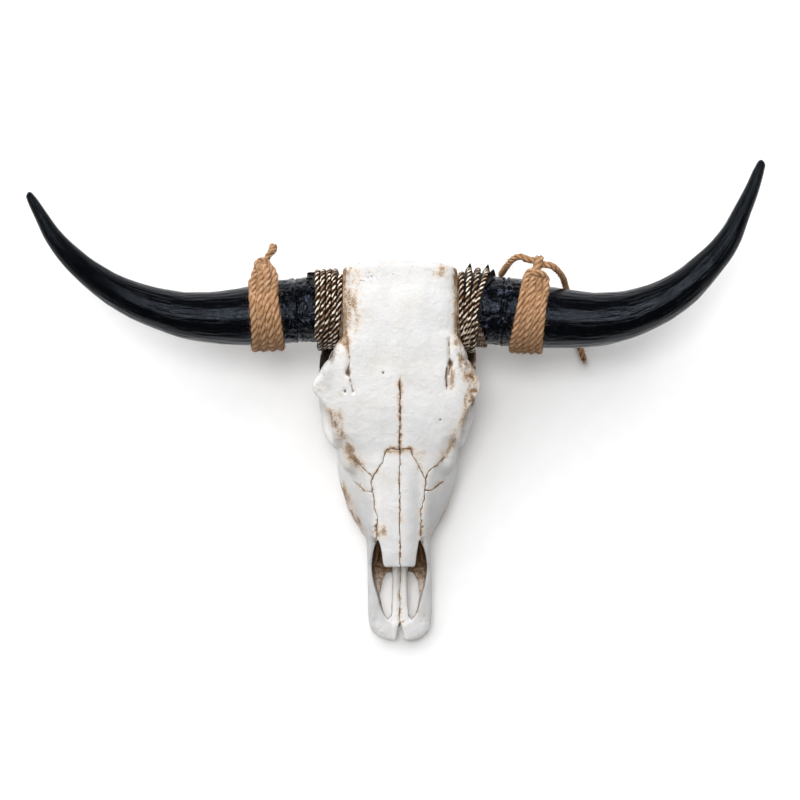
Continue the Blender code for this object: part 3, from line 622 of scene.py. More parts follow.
def carve_hollows(clay):
    """The palate, the braincase's opening, the orbit, the temple hollow and the smaller openings."""
    palate = section((
        (206, 15, -20, 52), (232, 22, -20, 44), (262, 28, -20, 40), (340, 27, -20, 38), (372, 24, -20, 35),
        (430, 20, -20, 27), (480, 16, -20, 24), (506, 9, -20, 23),
    ), power=2.4, blend=4)
    throat = lump((9.5, 186, 42), (8.5, 44, 22))
    spine_hole = lump((0, 4, 84), (19, 42, 18))
    spine_canal = lump((0, 30, 84), (17, 40, 17))
    orbit = lump((113, 203, 127), (45, 31, 32.5))
    orbit_depth = bar((96, 203, 125, 26), (66, 196, 116, 18), (50, 186, 108, 9), (38, 176, 100, 5))
    temple = bar((98, 126, 116, 17), (86, 140, 116, 24), (80, 158, 114, 24), (76, 180, 110, 18))
    temple_back = bar((92, 108, 108, 12), (79, 92, 106, 12), (82, 70, 104, 8))
    ear_hole = bar((90, 62, 86, 4), (74, 62, 88, 4), (60, 62, 90, 3))
    nerve_hole = bar((36, 32, 70, 7), (34, 34, 62, 6), (30, 38, 56, 5))
    bulla_slit = bar((44, 60, 60, 3), (30, 54, 52, 3.5))
    jaw_hollow = lump((42, 104, 64), (8, 12, 9))
    eye_nerve_hole = bar((50, 150, 84, 6), (36, 158, 84, 5))
    cheek_canal = bar((70, 350, 66, 3), (60, 344, 66, 4), (48, 336, 68, 4), (40, 330, 70, 3))
    cheek_hole = bar((48, 354, 66, 2.5), (56, 346, 66, 4.2))
    palate_hole = bar((20, 262, 42, 3), (18, 258, 50, 3))
    tear_hole = lump((88, 238, 124), (6, 5, 7))
    nape_hollow = lump((27, -9, 136), (22, 18, 20), -12)
    nape_vessel = bar((52, 6, 150, 1.8), (49, 12, 142, 1.2))
    for shape, blend in (
        (palate, 3), (throat, 2), (spine_hole, 2.5), (spine_canal, 2), (orbit, 4), (orbit_depth, 6),
        (temple, 6), (temple_back, 5), (ear_hole, 1.5), (nerve_hole, 2.5), (bulla_slit, 2), (jaw_hollow, 3),
        (eye_nerve_hole, 3), (cheek_canal, 2.5), (cheek_hole, 3), (palate_hole, 1.5), (tear_hole, 2),
        (nape_hollow, 12), (nape_vessel, 2.5),
    ):
        clay.carve(shape, blend)


def carve_holes(clay):
    """The gaps right through the snout and the notch in its end."""
    clay.carve(plate(NOSE_GAP, 0, 62, 2), 2)
    clay.carve(plate(SNOUT_NOTCH, 0, 62, 1), 3)


def teeth(clay):
    """Cheek teeth of one or two crescents each, with a worn, ridged crown on the floor."""
    crowns = []
    s = TOOTH_ROW_START
    for number, (x, length, width) in enumerate(CHEEK_TEETH):
        lobes = 2 if number < MOLARS else 1
        lobe, between = length / lobes, s + length / 2
        middles = [s + lobe * (k + 0.5) for k in range(lobes)]
        for middle in middles:
            clay.add(lump((x, middle, 14), (width * 0.47, lobe * 0.49, 22), power=3.6), 0.8)
            for way in (1, -1):
                foot, root = x + way * width * 0.42, x + way * width * 0.44
                clay.add(bar((foot, middle, 2, 2.2), (root, middle, 30, 2.6)), 1.5)
        if lobes == 2:
            for way in (1, -1):
                edge, end = x + way * width * 0.53, x + way * width * 0.55
                clay.carve(bar((edge, between, -4, 2), (edge, between, 18, 1.6), (end, between, 22, 0.5)), 1)
        clay.add(bar((x + width * 0.5, s + 2, 22, 4.5), (x + width * 0.5, s + length - 2, 22, 4.5)), 4)
        crowns += [(x, middle, lobe, width) for middle in middles]
        s += length
    for x, middle, lobe, width in crowns:
        for way, deep in ((0.22, 2.2), (-0.2, 2.0)):
            end, reach = x + width * (way - 0.1), lobe * 0.3
            bottom = (x + width * (way + 0.08), middle, -1.2, deep + 0.4)
            back, front = ((end, middle + reach * towards, -1.2, deep) for towards in (-1, 1))
            clay.carve(bar(back, bottom, front), 0.6)


def clear_horn(clay):
    """Thin the horn core where the collar and the cord go round it, and end it where the horn begins."""
    horn = Horn("left")
    start, play = COLLAR["span"][0], 0.3
    cut, (x, s, z) = clay.window((start - 2, -20, 60), (136, 136, 216), 0)
    centre, radius = horn.centre(np.clip(x.ravel(), 62, 480)), horn.radius(x.ravel())
    away = np.hypot(s - centre[:, 1][:, None, None], z - centre[:, 2][:, None, None])
    tube = radius[:, None, None]
    core = np.maximum(away - tube + play, x - HORN_START + play)
    room = np.maximum(away - tube - ROOM_ROUND_HORN, start - 1.6 - x)
    clay.f[cut] = np.maximum(clay.f[cut], -np.maximum(room, -core))


# Bones, as regions of the skull: the nasals' and lacrimals' outlines are (x, s) from above, others (s, z)

NASAL = {
    "left": ((-9, 257), (4, 254), (13, 254), (17, 262), (21.5, 270), (26, 280), (35.8, 297), (36.6, 301),
             (33.5, 318), (30.5, 340), (29, 358), (28.5, 376), (31, 386), (33, 440), (-9, 440)),
    "right": ((9, 257), (-3, 254), (-15, 255), (-19.6, 262), (-24, 272), (-33, 287), (-39.6, 299),
              (-39, 314), (-35, 332), (-32.5, 352), (-31, 372), (-33, 384), (-34, 440), (9, 440)),
}
LACRIMAL = {
    "left": ((34, 299), (39.5, 286), (52, 277), (63, 262), (73, 247), (79, 232), (84, 218), (92, 210),
             (130, 200), (130, 266), (76, 292), (55, 303), (47, 310), (41, 313), (34, 312)),
    "right": ((-37, 299), (-47, 285), (-56.6, 275), (-66, 267), (-77, 249), (-83, 232), (-88, 217),
              (-96, 208), (-134, 198), (-134, 268), (-80, 296), (-62, 301.6), (-52.5, 308.5), (-47, 314),
              (-39, 314)),
}
PREMAXILLA = ((358, 130), (374, 107), (387, 91), (400, 78), (432, 50), (448, 5), (560, 5), (560, 130))
RODS = ((405, 60), (405, 15), (480, 15), (480, 60))
ZYGOMATIC = (
    (291, 103), (284, 72), (262, 60), (228, 60), (150, 60), (140, 96), (157, 101), (157, 128), (184, 128),
    (196, 103),
)
MAXILLA = ((303, 170), (303, 112), (286, 98), (264, 58), (230, 44), (226, -9), (560, -9), (560, 170))
FRONTAL = ((-30, 230), (-30, 128), (24, 128), (36, 166), (118, 158), (148, 130), (200, 118), (330, 112),
           (330, 230))
HORN_CORE = ((-9, 92), (-9, 200), (118, 200), (118, 88))
OCCIPITAL = ((-30, 190), (30, 190), (40, 82), (60, 72), (60, -9), (-30, -9))
# The occipital from behind, (x, z)
NAPE = (
    (-72, -9), (-70, 70), (-63, 96), (-57, 122), (-43, 144), (-24, 156), (-9, 161), (0, 158), (9, 161),
    (24, 156), (43, 144), (57, 122), (63, 96), (70, 70), (72, -9),
)
TEMPORAL = ((-30, 170), (-30, 30), (156, 30), (156, 170))
NASAL_THICKNESS = 13
# The distance of a region without an edge
EVERYWHERE = -99.0


class Regions:
    """Distances to each bone's region of the skull, on one grid, with sutures that zigzag."""

    def __init__(self, axes, zigzag):
        x, s, z = (axis.astype(np.float32) for axis in axes)
        self.x, self.s, self.z = leaned(x[:, None], s[None, :]), s, z
        self.zigzag = zigzag

    def wobble(self, a, b, seed):
        """How far a suture wanders at each place."""
        points = np.stack(np.broadcast_arrays(a, b, np.float32(0)), axis=-1)
        wide, narrow = 1.3 * noise(points, 14.0, seed + 5), noise(points, 5.0, seed)
        return (wide + narrow + 0.6 * noise(points, 2.6, seed + 9)) * self.zigzag

    def flat(self, a, b, outline, seed):
        """Distance to an outline whose edge wanders, in the plane of a and b."""
        points = np.array(outline, float)
        return polygon(a + self.wobble(a, b, seed), b + self.wobble(a, b, seed + 1), points)

    def upright(self, outline):
        """An (x, s) outline, through all heights."""
        return self.flat(self.x, np.broadcast_to(self.s[None, :], self.x.shape), outline, 3)[:, :, None]

    def sideways(self, outline):
        """An (s, z) outline, through the whole width."""
        return self.flat(self.s[:, None], self.z[None, :], outline, 5)[None, :, :]

    def facing(self, outline):
        """An (x, z) outline, through the whole length."""
        return self.flat(self.x[:, :1], self.z[None, :], outline, 8)[:, None, :]

    def beyond(self, side, x):
        """The half space further out than x on one side."""
        return (x - side * self.x)[:, :, None]

    def half(self, side):
        """One side of the midline suture."""
        line = self.wobble(np.zeros_like(self.s), self.s, 7) * 0.55
        return (-side * (self.x + line[None, :]))[:, :, None]

    def above(self, heights):
        """The space over heights that vary along s."""
        return (heights(self.s)[:, None] - self.z[None, :])[None, :, :]


def bone_plan(regions):
    """Each bone and its region, in the order in which they are parted: an earlier bone takes precedence."""
    def both(first, *others):
        for other in others:
            first = np.maximum(first, other)
        return first

    def under_brow(s):
        return 100 + 2.2 * np.sin(s / 7) + 1.2 * np.sin(s / 2.9)

    for word, side in SIDES.items():
        roof = regions.above(lambda s: dorsal(s) - NASAL_THICKNESS)
        yield f"nasal_{word}", both(regions.upright(NASAL[word]), regions.half(side), roof)
    for word, side in SIDES.items():
        yield f"lacrimal_{word}", both(regions.upright(LACRIMAL[word]), regions.above(under_brow))
    for word, side in SIDES.items():
        yield f"zygomatic_{word}", both(regions.sideways(ZYGOMATIC), regions.beyond(side, 62))
    for word, side in SIDES.items():
        rods = both(regions.sideways(RODS), -regions.beyond(side, 12.5))
        yield f"premaxilla_{word}", both(np.minimum(regions.sideways(PREMAXILLA), rods), regions.half(side))
    for word, side in SIDES.items():
        yield f"maxilla_{word}", both(regions.sideways(MAXILLA), regions.half(side))
    nape = regions.facing(NAPE)
    yield "occipital", both(regions.sideways(OCCIPITAL), nape)
    for word, side in SIDES.items():
        core = both(regions.sideways(HORN_CORE), -nape)
        yield f"frontal_{word}", both(np.minimum(regions.sideways(FRONTAL), core), regions.half(side))
    for word, side in SIDES.items():
        yield f"temporal_{word}", both(regions.sideways(TEMPORAL), regions.beyond(side, 40))
    yield "skull_base", np.full((1, 1, 1), EVERYWHERE)


def surface(field, axes):
    """Quads where the field is zero, with one vertex in each cell that the surface passes."""
    inside = field < 0
    shape = np.array(field.shape) - 1
    count = np.zeros(shape, np.uint8)
    corners = list(np.ndindex(2, 2, 2))
    for i, j, k in corners:
        count += inside[i:shape[0] + i, j:shape[1] + j, k:shape[2] + k]
    mixed = (count > 0) & (count < 8)
    cells = np.argwhere(mixed)
    index = np.full(shape, -1, np.int64)
    index[mixed] = np.arange(len(cells))
    place, crossings = np.zeros((len(cells), 3)), np.zeros(len(cells))
    for axis in range(3):
        for corner in corners:
            if corner[axis]:
                continue
            a = cells + corner
            b = a.copy()
            b[:, axis] += 1
            fa, fb = field[tuple(a.T)], field[tuple(b.T)]
            cross = (fa < 0) != (fb < 0)
            where = np.array(corner, float) + np.zeros((len(cells), 3))
            where[:, axis] += np.where(cross, fa / np.where(cross, fa - fb, 1), 0)
            place[cross] += where[cross]
            crossings += cross
    place = cells + place / crossings[:, None]
    step = [axis[1] - axis[0] for axis in axes]
    points = place * step + [axis[0] for axis in axes]
    quads = []
    for axis in range(3):
        u, v = (axis + 1) % 3, (axis + 2) % 3
        keep = [slice(1, -1)] * 3
        keep[axis] = slice(None)
        part = inside[tuple(keep)]
        ahead = [slice(None)] * 3
        behind = [slice(None)] * 3
        ahead[axis], behind[axis] = slice(1, None), slice(None, -1)
        here, there = part[tuple(behind)], part[tuple(ahead)]
        for flip, changed in ((False, here & ~there), (True, there & ~here)):
            at = np.argwhere(changed)
            at[:, u] += 1
            at[:, v] += 1
            ring = []
            for du, dv in ((-1, -1), (0, -1), (0, 0), (-1, 0)):
                cell = at.copy()
                cell[:, u] += du
                cell[:, v] += dv
                ring.append(index[tuple(cell.T)])
            quads.append(np.stack(ring[::-1] if flip else ring, axis=1))
    return points, np.vstack(quads)


def largest_part(points, quads):
    """The same surface without loose scraps."""
    label = np.arange(len(points))
    while True:
        low = label[quads].min(axis=1)
        new = label.copy()
        for k in range(4):
            np.minimum.at(new, quads[:, k], low)
        new = new[new]
        if (new == label).all():
            break
        label = new
    sizes = np.bincount(label, minlength=len(points))
    keep = sizes[label] > max(60, sizes.max() * 0.02)
    renumber = np.cumsum(keep) - 1
    return points[keep], renumber[quads[keep[quads[:, 0]]]]


def normals_of(points, quads):
    """The direction that the surface faces at each point."""
    a, b, c, d = (points[quads[:, k]] for k in range(4))
    across = np.cross(c - a, d - b)
    total = np.stack([
        np.bincount(quads.ravel(), np.repeat(across[:, k], 4), len(points)) for k in range(3)
    ], axis=1)
    return total / np.maximum(np.linalg.norm(total, axis=1, keepdims=True), 1e-9)


def smoothed(points, quads, share=0.5):
    """The points drawn by a share towards the middle of their neighbours."""
    total = np.zeros_like(points)
    for k in (1, 3):
        other = points[np.roll(quads, k, axis=1)]
        for n in range(3):
            total[:, n] += np.bincount(quads.ravel(), other[..., n].ravel(), len(points))
    count = 2 * np.bincount(quads.ravel(), minlength=len(points))
    return points * (1 - share) + share * total / np.maximum(count, 1)[:, None]


def sample(field, axes, points):
    """The field's value at each point."""
    step = axes[0][1] - axes[0][0]
    place = (points - [axis[0] for axis in axes]) / step
    place = np.clip(place, 0, np.array(field.shape) - 1.001)
    cell = place.astype(int)
    u = place - cell
    total = np.zeros(len(points))
    for corner in np.ndindex(2, 2, 2):
        weight = np.prod(np.where(corner, u, 1 - u), axis=1)
        total += weight * field[tuple((cell + corner).T)]
    return total


def spread(x, s, middle_x, middle_s, wide, long):
    """A soft oval patch."""
    return np.exp(-((x - middle_x) / wide) ** 2 - ((s - middle_s) / long) ** 2)


# Grooves in the brow beside the midline: points (x, s), half width and depth
RIGHT_GROOVE = ((-73, 105), (-70, 120), (-68.5, 134), (-70.5, 146), (-68, 158), (-64, 176))
LEFT_GROOVE = ((66.5, 105), (67, 124), (68, 140), (66.5, 152))
BROW_GROOVES = ((RIGHT_GROOVE, 2.6, 2.4), (LEFT_GROOVE, 2.6, 2.6))
# Pores in the brow: (x, s, radius, depth)
BROW_PORES = (
    (-71, 150, 3.2, 5.5), (69, 138, 3.0, 6.5), (-75, 175, 2.0, 2.2), (55, 214, 1.3, 2.0),
    (-23, 150, 1.6, 0.8),
)
# Shallow hollows in the roof, and a swelling: depth and the oval's middle (x, s), half width and half length
ROOF_HOLLOWS = (
    (2.6, (68, 163, 6.5, 15)), (1.2, (-30, 120, 22, 34)), (1.0, (34, 150, 20, 40)), (-1.4, (0, 96, 9, 50)),
    (1.6, (0, 230, 26, 26)),
)


def groove_depth(x, s, line, wide):
    """1 along a line of (x, s) points and less beside it."""
    best = np.full(len(x), 1e9)
    for (x0, s0), (x1, s1) in zip(line, line[1:]):
        ex, es = x1 - x0, s1 - s0
        t = np.clip(((x - x0) * ex + (s - s0) * es) / (ex * ex + es * es), 0, 1)
        best = np.minimum(best, np.hypot(x - x0 - t * ex, s - s0 - t * es))
    return np.exp(-(best / wide) ** 2)


def ovals(x, s, rows):
    """The sum of soft ovals, each (strength, oval)."""
    return sum(share * spread(x, s, *oval) for share, oval in rows)


def brow_relief(x, s):
    """How far the roof sinks below its smooth shape, and how dark it is there."""
    sink = np.zeros(len(x))
    dark = np.zeros(len(x))
    broken = 0.65 + 0.35 * rise(np.sin(s * 0.55 + x), -0.6, 0.3)
    for line, wide, deep in BROW_GROOVES:
        sink += deep * groove_depth(x, s, line, wide)
        dark += 0.95 * groove_depth(x, s, line, wide * 0.55) * broken
    for px, ps, radius, deep in BROW_PORES:
        pore = np.exp(-(np.hypot(x - px, (s - ps) * 0.75) / radius) ** 2)
        sink += deep * pore
        dark += 1.3 * pore
    sink += ovals(x, s, ROOF_HOLLOWS)
    dark += 0.8 * groove_depth(x, s, ((63, 144), (61.5, 158), (63.5, 172)), 1.5)
    return sink, dark


# Stains seen from above, first those in front of the orbits: a line of (x, s) points, its width and strength
STAIN_LINES = (
    (((-90, 206), (-86, 222), (-78, 240), (-69, 256), (-61, 270)), 10, 1.15),
    (((100, 180), (91, 203), (83, 221), (75, 240), (66, 258)), 9.5, 0.85),
    (((-84, 306), (-80, 318), (-66, 344), (-53, 374)), 6.5, 1.3),
    (((78, 318), (65, 348), (54, 370)), 5.5, 1.2),
    (((-32, 362), (-38, 371)), 3.5, 0.7),
    (((38, 366), (44, 377), (49, 388)), 3, 0.6),
    (RIGHT_GROOVE, 4, 0.55),
    (LEFT_GROOVE[:3], 4, 0.6),
    (((97, 122), (100, 140), (101, 160), (98, 184)), 10, 1.15),
    (((80, 112), (84, 136), (89, 158)), 6, 0.9),
)
SPECKLED_LINES = STAIN_LINES[:4]
# Stained ovals: the middle (x, s), half width, half length and strength
STAIN_SPOTS = (
    (-65, 66, 13, 40, 0.95), (-90, 212, 12, 20, 0.5), (-84, 234, 10, 14, 0.5), (-60, 304, 14, 34, 0.25),
    (-64, 28, 14, 26, 0.18), (-76, 108, 7, 20, 0.7), (69, 158, 7, 17, 1.55), (74, 60, 6, 50, 0.4),
    (62, 18, 30, 8, 0.45), (-66, 16, 26, 8, 0.45), (13, 14, 8, 4, 0.8), (49, 15, 6, 5, 0.8),
    (57, 8, 6, 4, 0.8), (-64, 12, 7, 6, 0.7), (-23.5, 371, 6, 11, 1.25), (34, 262, 22, 9, 0.45),
    (24, 410, 8, 12, 0.35), (0, 160, 4, 12, 0.7), (-23, 150, 4, 7, 0.6), (-80, 176, 7, 8, 0.6),
    (12, 256, 14, 6, 0.8), (-10, 256, 10, 6, 0.8), (30, 218, 30, 3, 0.25), (-100, 196, 10, 12, 0.3),
)


# Darker ovals on the brow and the cheeks: how dark, and the middle (x, s), half width and half length
SPOTTED = (
    (0.4, (-105, 150, 6, 18)), (0.4, (88, 232, 9, 22)), (0.5, (-87, 226, 11, 24)), (0.3, (-96, 200, 8, 20)),
)
SHADED = (
    (1.2, (-94, 121, 9, 16)), (1.0, (97, 114, 9, 17)), (0.7, (91, 142, 9, 22)), (0.3, (99, 160, 8, 16)),
    (0.75, (81, 128, 4.5, 22)),
)
ORBIT_SHADE = ((2.4, (-104, 130, 15, 20)), (0.9, (102, 128, 9, 14)))
OVAL_RIM = ((64.5, 137), (63.3, 150), (64, 168))


def ochre_on_top(x, s):
    """Where the photographed skull is stained, from above."""
    total = sum(share * groove_depth(x, s, line, wide) for line, wide, share in STAIN_LINES)
    return total + sum(share * spread(x, s, at, to, wide, long) for at, to, wide, long, share in STAIN_SPOTS)


class Places:
    """Where a bone's points lie on the skull, as masks from 0 to 1 that its marks are built from."""

    def __init__(self, points, way, depth, reg):
        self.points, self.way = points, way
        self.x, self.s, self.z = x, s, z = points.T
        self.out = np.abs(x)
        self.seen = 1 - grown_shut(x, s, z)
        self.smear = layers(points, 13.0, 3, 11)
        near = np.minimum(reg, 0)
        self.fringe = np.exp(near / (1.6 + 3.2 * rise(self.smear, -0.35, 0.5))) * self.seen
        self.edge = np.exp(near / (0.5 + 1.0 * rise(self.smear, -0.25, 0.6))) * self.seen
        self.beads = rise(layers(points, 4.5, 2, 77), -0.35, 0.35)
        self.crack = rise(s, 164, 176) * rise(262 - s, 0, 6) * rise(z, 120, 130)
        # cavity and nose: painted shade, in brown and ochre, deep in the hollows and the nasal passage,
        # fading towards the nose's opening.
        self.cavity = rise(-depth, 2.0, 26)
        self.rods = rise(12 - self.out, 0, 1.5) * rise(s, 420, 427)
        inside_nose = rise(s, 372, 386) * rise(-depth, 0.8, 4) * (0.98 - 0.75 * rise(s, 406, 490))
        self.nose = inside_nose * (1 - self.rods)
        # beside: the brow's strip by the cords, given ochre stain and painted contact shadow.
        self.beside = rise(self.out, 70.5, 76.5) * rise(116 - s, 0, 10) * rise(s, -10, 6)
        self.poll = rise(62 - s, 0, 60) * rise(z, 120, 160)
        rims = spread(x, s, 104, 172, 15, 36) + 0.5 * spread(x, s, -106, 176, 16, 36)
        self.rim = np.clip(rims, 0, 1) * rise(z, 96, 120)
        self.base = rise(self.out, 56, 74) * rise(150 - s, 0, 60)


def darkness(at, dark, skull):
    """How dark the cracks, hollows and worst stains are, together with the dark of the brow's grooves; the
    darkness in the hollows, the nasal passage, beside the cords, on the SHADED ovals and in the temple
    hollows is painted shade.
    """
    x, s, z, beaded = at.x, at.s, at.z, 0.3 + 0.7 * at.beads
    crack_width = 0.8 + 0.9 * rise(at.smear, -0.3, 0.5)
    dark = dark + 0.62 * at.crack * np.exp(-(x / crack_width) ** 2) * (0.35 + 0.65 * at.beads)
    dark += 0.5 * rise(-skull, 0.7, 1.6) * at.seen + 0.7 * at.edge * beaded
    dark += 0.3 * rise(at.cavity, 0.35, 1.0) * (1 - at.rods) + at.nose
    stained = sum(groove_depth(x, s, line, wide * 0.6) for line, wide, _ in SPECKLED_LINES) * rise(z, 30, 60)
    flecked = rise(layers(at.points * (1, 0.4, 1), 5, 2, 79), 0.0, 0.5)
    dark += 0.4 * at.beside * beaded + 0.5 * stained * flecked
    spots = rise(layers(at.points * (1, 0.5, 1), 5, 2, 83), -0.3, 0.5)
    dark += spots * ovals(x, s, SPOTTED)
    dark += (0.7 + 0.3 * spots) * ovals(x, s, SHADED)
    dark += 0.6 * groove_depth(x, s, OVAL_RIM, 1.5)
    # Painted shadow in the temple hollows behind the orbits, nearly black, over the other darkness.
    arch = rise(128 - z, 0, 18) * ovals(x, s, ORBIT_SHADE)
    return np.clip(np.minimum(dark, 1.0) + arch, 0, 1.5)


def stain(at):
    """How strong the ochre is: stain, with more on faces that look sideways and down; in the hollows and the
    nasal passage it is painted shade, and beside the cords it is stain with painted contact shadow.
    """
    x, s, z, down = at.x, at.s, at.z, -at.way[:, 2]
    streak = layers(at.points * (1.0, 0.3, 0.6), 8.0, 3, 15)
    ochre = (ochre_on_top(x, s) * rise(z, 30, 60) * (0.55 + 0.9 * rise(streak, -0.4, 0.45))
             + 1.2 * at.fringe * (0.5 + 0.7 * at.beads))
    ochre += (at.crack * np.exp(-(x / 3.0) ** 2) * (0.5 + 0.6 * at.beads)
              + 1.5 * at.beside * (0.45 + 0.7 * rise(at.smear, -0.4, 0.4)) + 1.3 * at.nose)
    ochre += (0.75 * at.cavity * (1 - at.rods) + 0.35 * at.poll * rise(at.smear, 0, 0.5)
              + 0.3 * rise(0.2 + down, 0, 0.7))
    ochre += 0.2 * rise(down, 0.0, 0.8)
    return np.clip(ochre, 0, 1.5)


def painted_shade_share(at):
    """How much painted shade greys the clean bone: on the face's flanks, the premaxillae, one side of the
    nasals, the poll and the slopes beside the orbits.
    """
    x, s, z, out = at.x, at.s, at.z, at.out
    painted_shade = rise(s, 276, 345) * rise(out, 30, 42) + rise(s, 392, 428) * (1 - 0.6 * rise(s, 478, 505))
    nasal = (0.25 + 0.75 * rise(x, 3, 20)) * rise(30 - out, 0, 8) * rise(s, 262, 300) * rise(428 - s, 0, 20)
    painted_shade += nasal + 0.35 * rise(x, 60, 84) * rise(s, 215, 250)
    painted_shade = painted_shade * (1 - at.rods) + 0.9 * rise(40 - s, 0, 50) * rise(z, 120, 160)
    painted_shade += (1.2 * spread(x, s, -99, 143, 10, 30) + 0.8 * spread(x, s, 102, 132, 8, 22)
             + 0.6 * rise(x, 78, 96) * rise(s, 120, 150))
    return np.clip(painted_shade, 0, 1) * (0.75 + 0.25 * rise(at.smear, -0.4, 0.4))


def weathered_and_shaded(points, way, depth, skull, reg, fine):
    """The points raised and sunk by the bone's unevenness, the colours of its marks, and its painted shade.
    """
    at = Places(points, way, depth, reg)
    x, s, z = points.T
    up = rise(way[:, 2], 0.15, 0.6) * rise(z, 88, 112)
    sink, dark = (part * up for part in brow_relief(x, s))
    rugged = np.clip(at.rim + 0.45 * at.base + 0.35 * at.poll + 0.42 * rise(s, 466, 494), 0, 1)
    low = 1 - rise(z, 40, 120)
    porous = np.clip(0.15 + 0.85 * at.poll + 0.7 * at.rim + 0.6 * at.base + 0.35 * low, 0, 1)
    crown = rise(22 - z, 0, 6) * rise(s, 232, 238) * rise(374 - s, 0, 4) * rise(at.out, 18, 24)
    tuck = 0.7 * (1 - at.seen) * rise(reg, -2.9, -0.6)
    knobs = layers(points, 7, 3, 51) * rugged
    lift = layers(points, 26, 2, 21) * 0.7 + layers(points * (1, 0.3, 1), 9, 3, 33) * fine * 1.2
    lift += layers(points, 7, 3, 31) * fine + knobs * 1.3
    ochre = stain(at) + (0.8 + 0.2 * (x > 0)) * rise(-knobs, 0.02, 0.3)
    holes = rise(0.27 + 0.14 * noise(points, 9, 43) - pits(points, 4.2), 0, 0.16)
    holes *= rise(porous + noise(points, 16, 44) * 0.55, 0.5, 0.9)
    lift -= holes * 0.7
    dark = darkness(at, dark, skull) + 0.5 * holes + 0.6 * rise(-knobs, 0.14, 0.42)
    outer = 1 - rise(-skull, 0.5, 1.2)
    off_floor = rise(z, 0.6, 3.0)
    moved = points + way * ((lift * off_floor * (1 - 0.7 * crown) - tuck) * outer)[:, None]
    moved[:, 2] -= sink * outer
    moved[:, 2] = np.maximum(moved[:, 2], 0)
    return moved, np.column_stack([ochre, dark, porous, crown]), painted_shade_share(at)


def grown_shut(x, s, z):
    """1 where sutures have grown together: on the brow's midline and under the orbits' rims."""
    out = np.abs(x)
    brow = rise(9 - out, 0, 3) * rise(162 - s, 0, 9) * rise(z, 163, 168)
    beyond_orbit = rise(out * 0.9 + z * 0.2 - (s - 176) * 0.9, 0, 10)
    rim = rise(out, 44, 52) * beyond_orbit * rise(z, 88, 94) * rise(s, 128, 136)
    side = rise(out, 61, 66) * rise(s, 262, 270) * rise(316 - s, 0, 8) * rise(z, 56, 66)
    snout = rise(out, 34.5, 36.5) * rise(s, 350, 358) * rise(z, 38, 46)
    beside_rods = rise(out, 12.6, 14.5) * rise(s, 400, 408) * rise(z, 29, 33) * rise(92 - z, 0, 6)
    snout = np.maximum(snout, beside_rods)
    return np.maximum(np.maximum(brow, snout), np.maximum(rim, side))


def seam_gaps(axes, usual):
    """Half the gap between bones at each place: none on the brow's midline, wider in front of it."""
    x, s, z = (axis.astype(np.float32) for axis in axes)
    x, s, z = x[:, None, None], s[None, :, None], z[None, None, :]
    shut = grown_shut(x, s, z)
    crack = rise(9 - np.abs(x), 0, 3) * rise(s, 160, 172) * rise(262 - s, 0, 8) * rise(z, 120, 130)
    uneven = np.sin(0.83 * s + 1.3 * np.sin(0.31 * x + 0.2 * z)) * np.sin(0.57 * s + 0.9 * x + 0.4 * z)
    return (usual * (1 + 0.9 * uneven) - (usual + 3.0) * shut + 0.12 * crack).astype(np.float32)


FLAT_UNDER = 0.02


def carved_skull(step):
    """The skull as a field of distances, the same before its hollows were carved, and the grid's axes."""
    clay = Clay(step)
    for model in (cranium, orbit_ring, face):
        model(clay)
    closed = clay.f.copy()
    for model in (carve_nose, carve_hollows, carve_holes, teeth, clear_horn):
        model(clay)
    field, closed = (np.concatenate([half[:0:-1], half]) for half in (clay.f, closed))
    out, along, up = clay.axes
    floor = (-(up - FLAT_UNDER)).astype(np.float32)
    return np.maximum(field, floor[None, None, :]), closed, [np.concatenate([-out[:0:-1], out]), along, up]


def parted(field, closed, axes, gap, zigzag):
    """Each bone's name, points and faces, and the depths in the closed skull, the skull and its region."""
    taken = None
    for name, region in bone_plan(Regions(axes, zigzag)):
        region = np.broadcast_to(region, field.shape)
        own = region + gap if taken is None else np.maximum(region + gap, gap - taken)
        taken = region.astype(np.float32) if taken is None else np.minimum(taken, region)
        solid = np.maximum(field, own)
        hit = np.argwhere(solid < 0)
        low, high = np.maximum(hit.min(0) - 2, 0), hit.max(0) + 3
        cut = tuple(slice(a, b) for a, b in zip(low, high))
        box = [axis[part] for axis, part in zip(axes, cut)]
        solid = solid[cut].copy()
        for axis in range(3):
            edge = [slice(None)] * 3
            for end in (0, -1):
                edge[axis] = end
                solid[tuple(edge)] = np.maximum(solid[tuple(edge)], 0.5)
        points, quads = largest_part(*surface(solid, box))
        points = smoothed(points, quads)
        yield name, points, quads, [sample(part[cut], box, points) for part in (closed, field, own)]


def make_bones(settings):
    """The skull's bones, each parted from the others along its sutures."""
    step = settings.detail / MM
    field, closed, axes = carved_skull(step)
    gap = seam_gaps(axes, settings.suture / MM / 2)
    material = bone_material(settings)
    for name, points, quads, depths in parted(field, closed, axes, gap, settings.zigzag / MM):
        points[:, 0] = leaned(points[:, 0], points[:, 1])
        way = normals_of(points, quads)
        points, marks, painted_shade = weathered_and_shaded(points, way, *depths, settings.roughness_height / MM)
        bone = add_mesh(name + "_bone", points, quads, material)
        coat(bone, "marks", marks)
        coat(bone, "painted_shade", painted_shade)
        own_node(bone, name)


# Objects and attributes

def world(points):
    """(x, s, z) places in millimetres as places in the scene."""
    points = np.asarray(points, float)
    return np.column_stack([points[:, 0] * MM + POLL.x, -points[:, 1] * MM + POLL.y, points[:, 2] * MM])


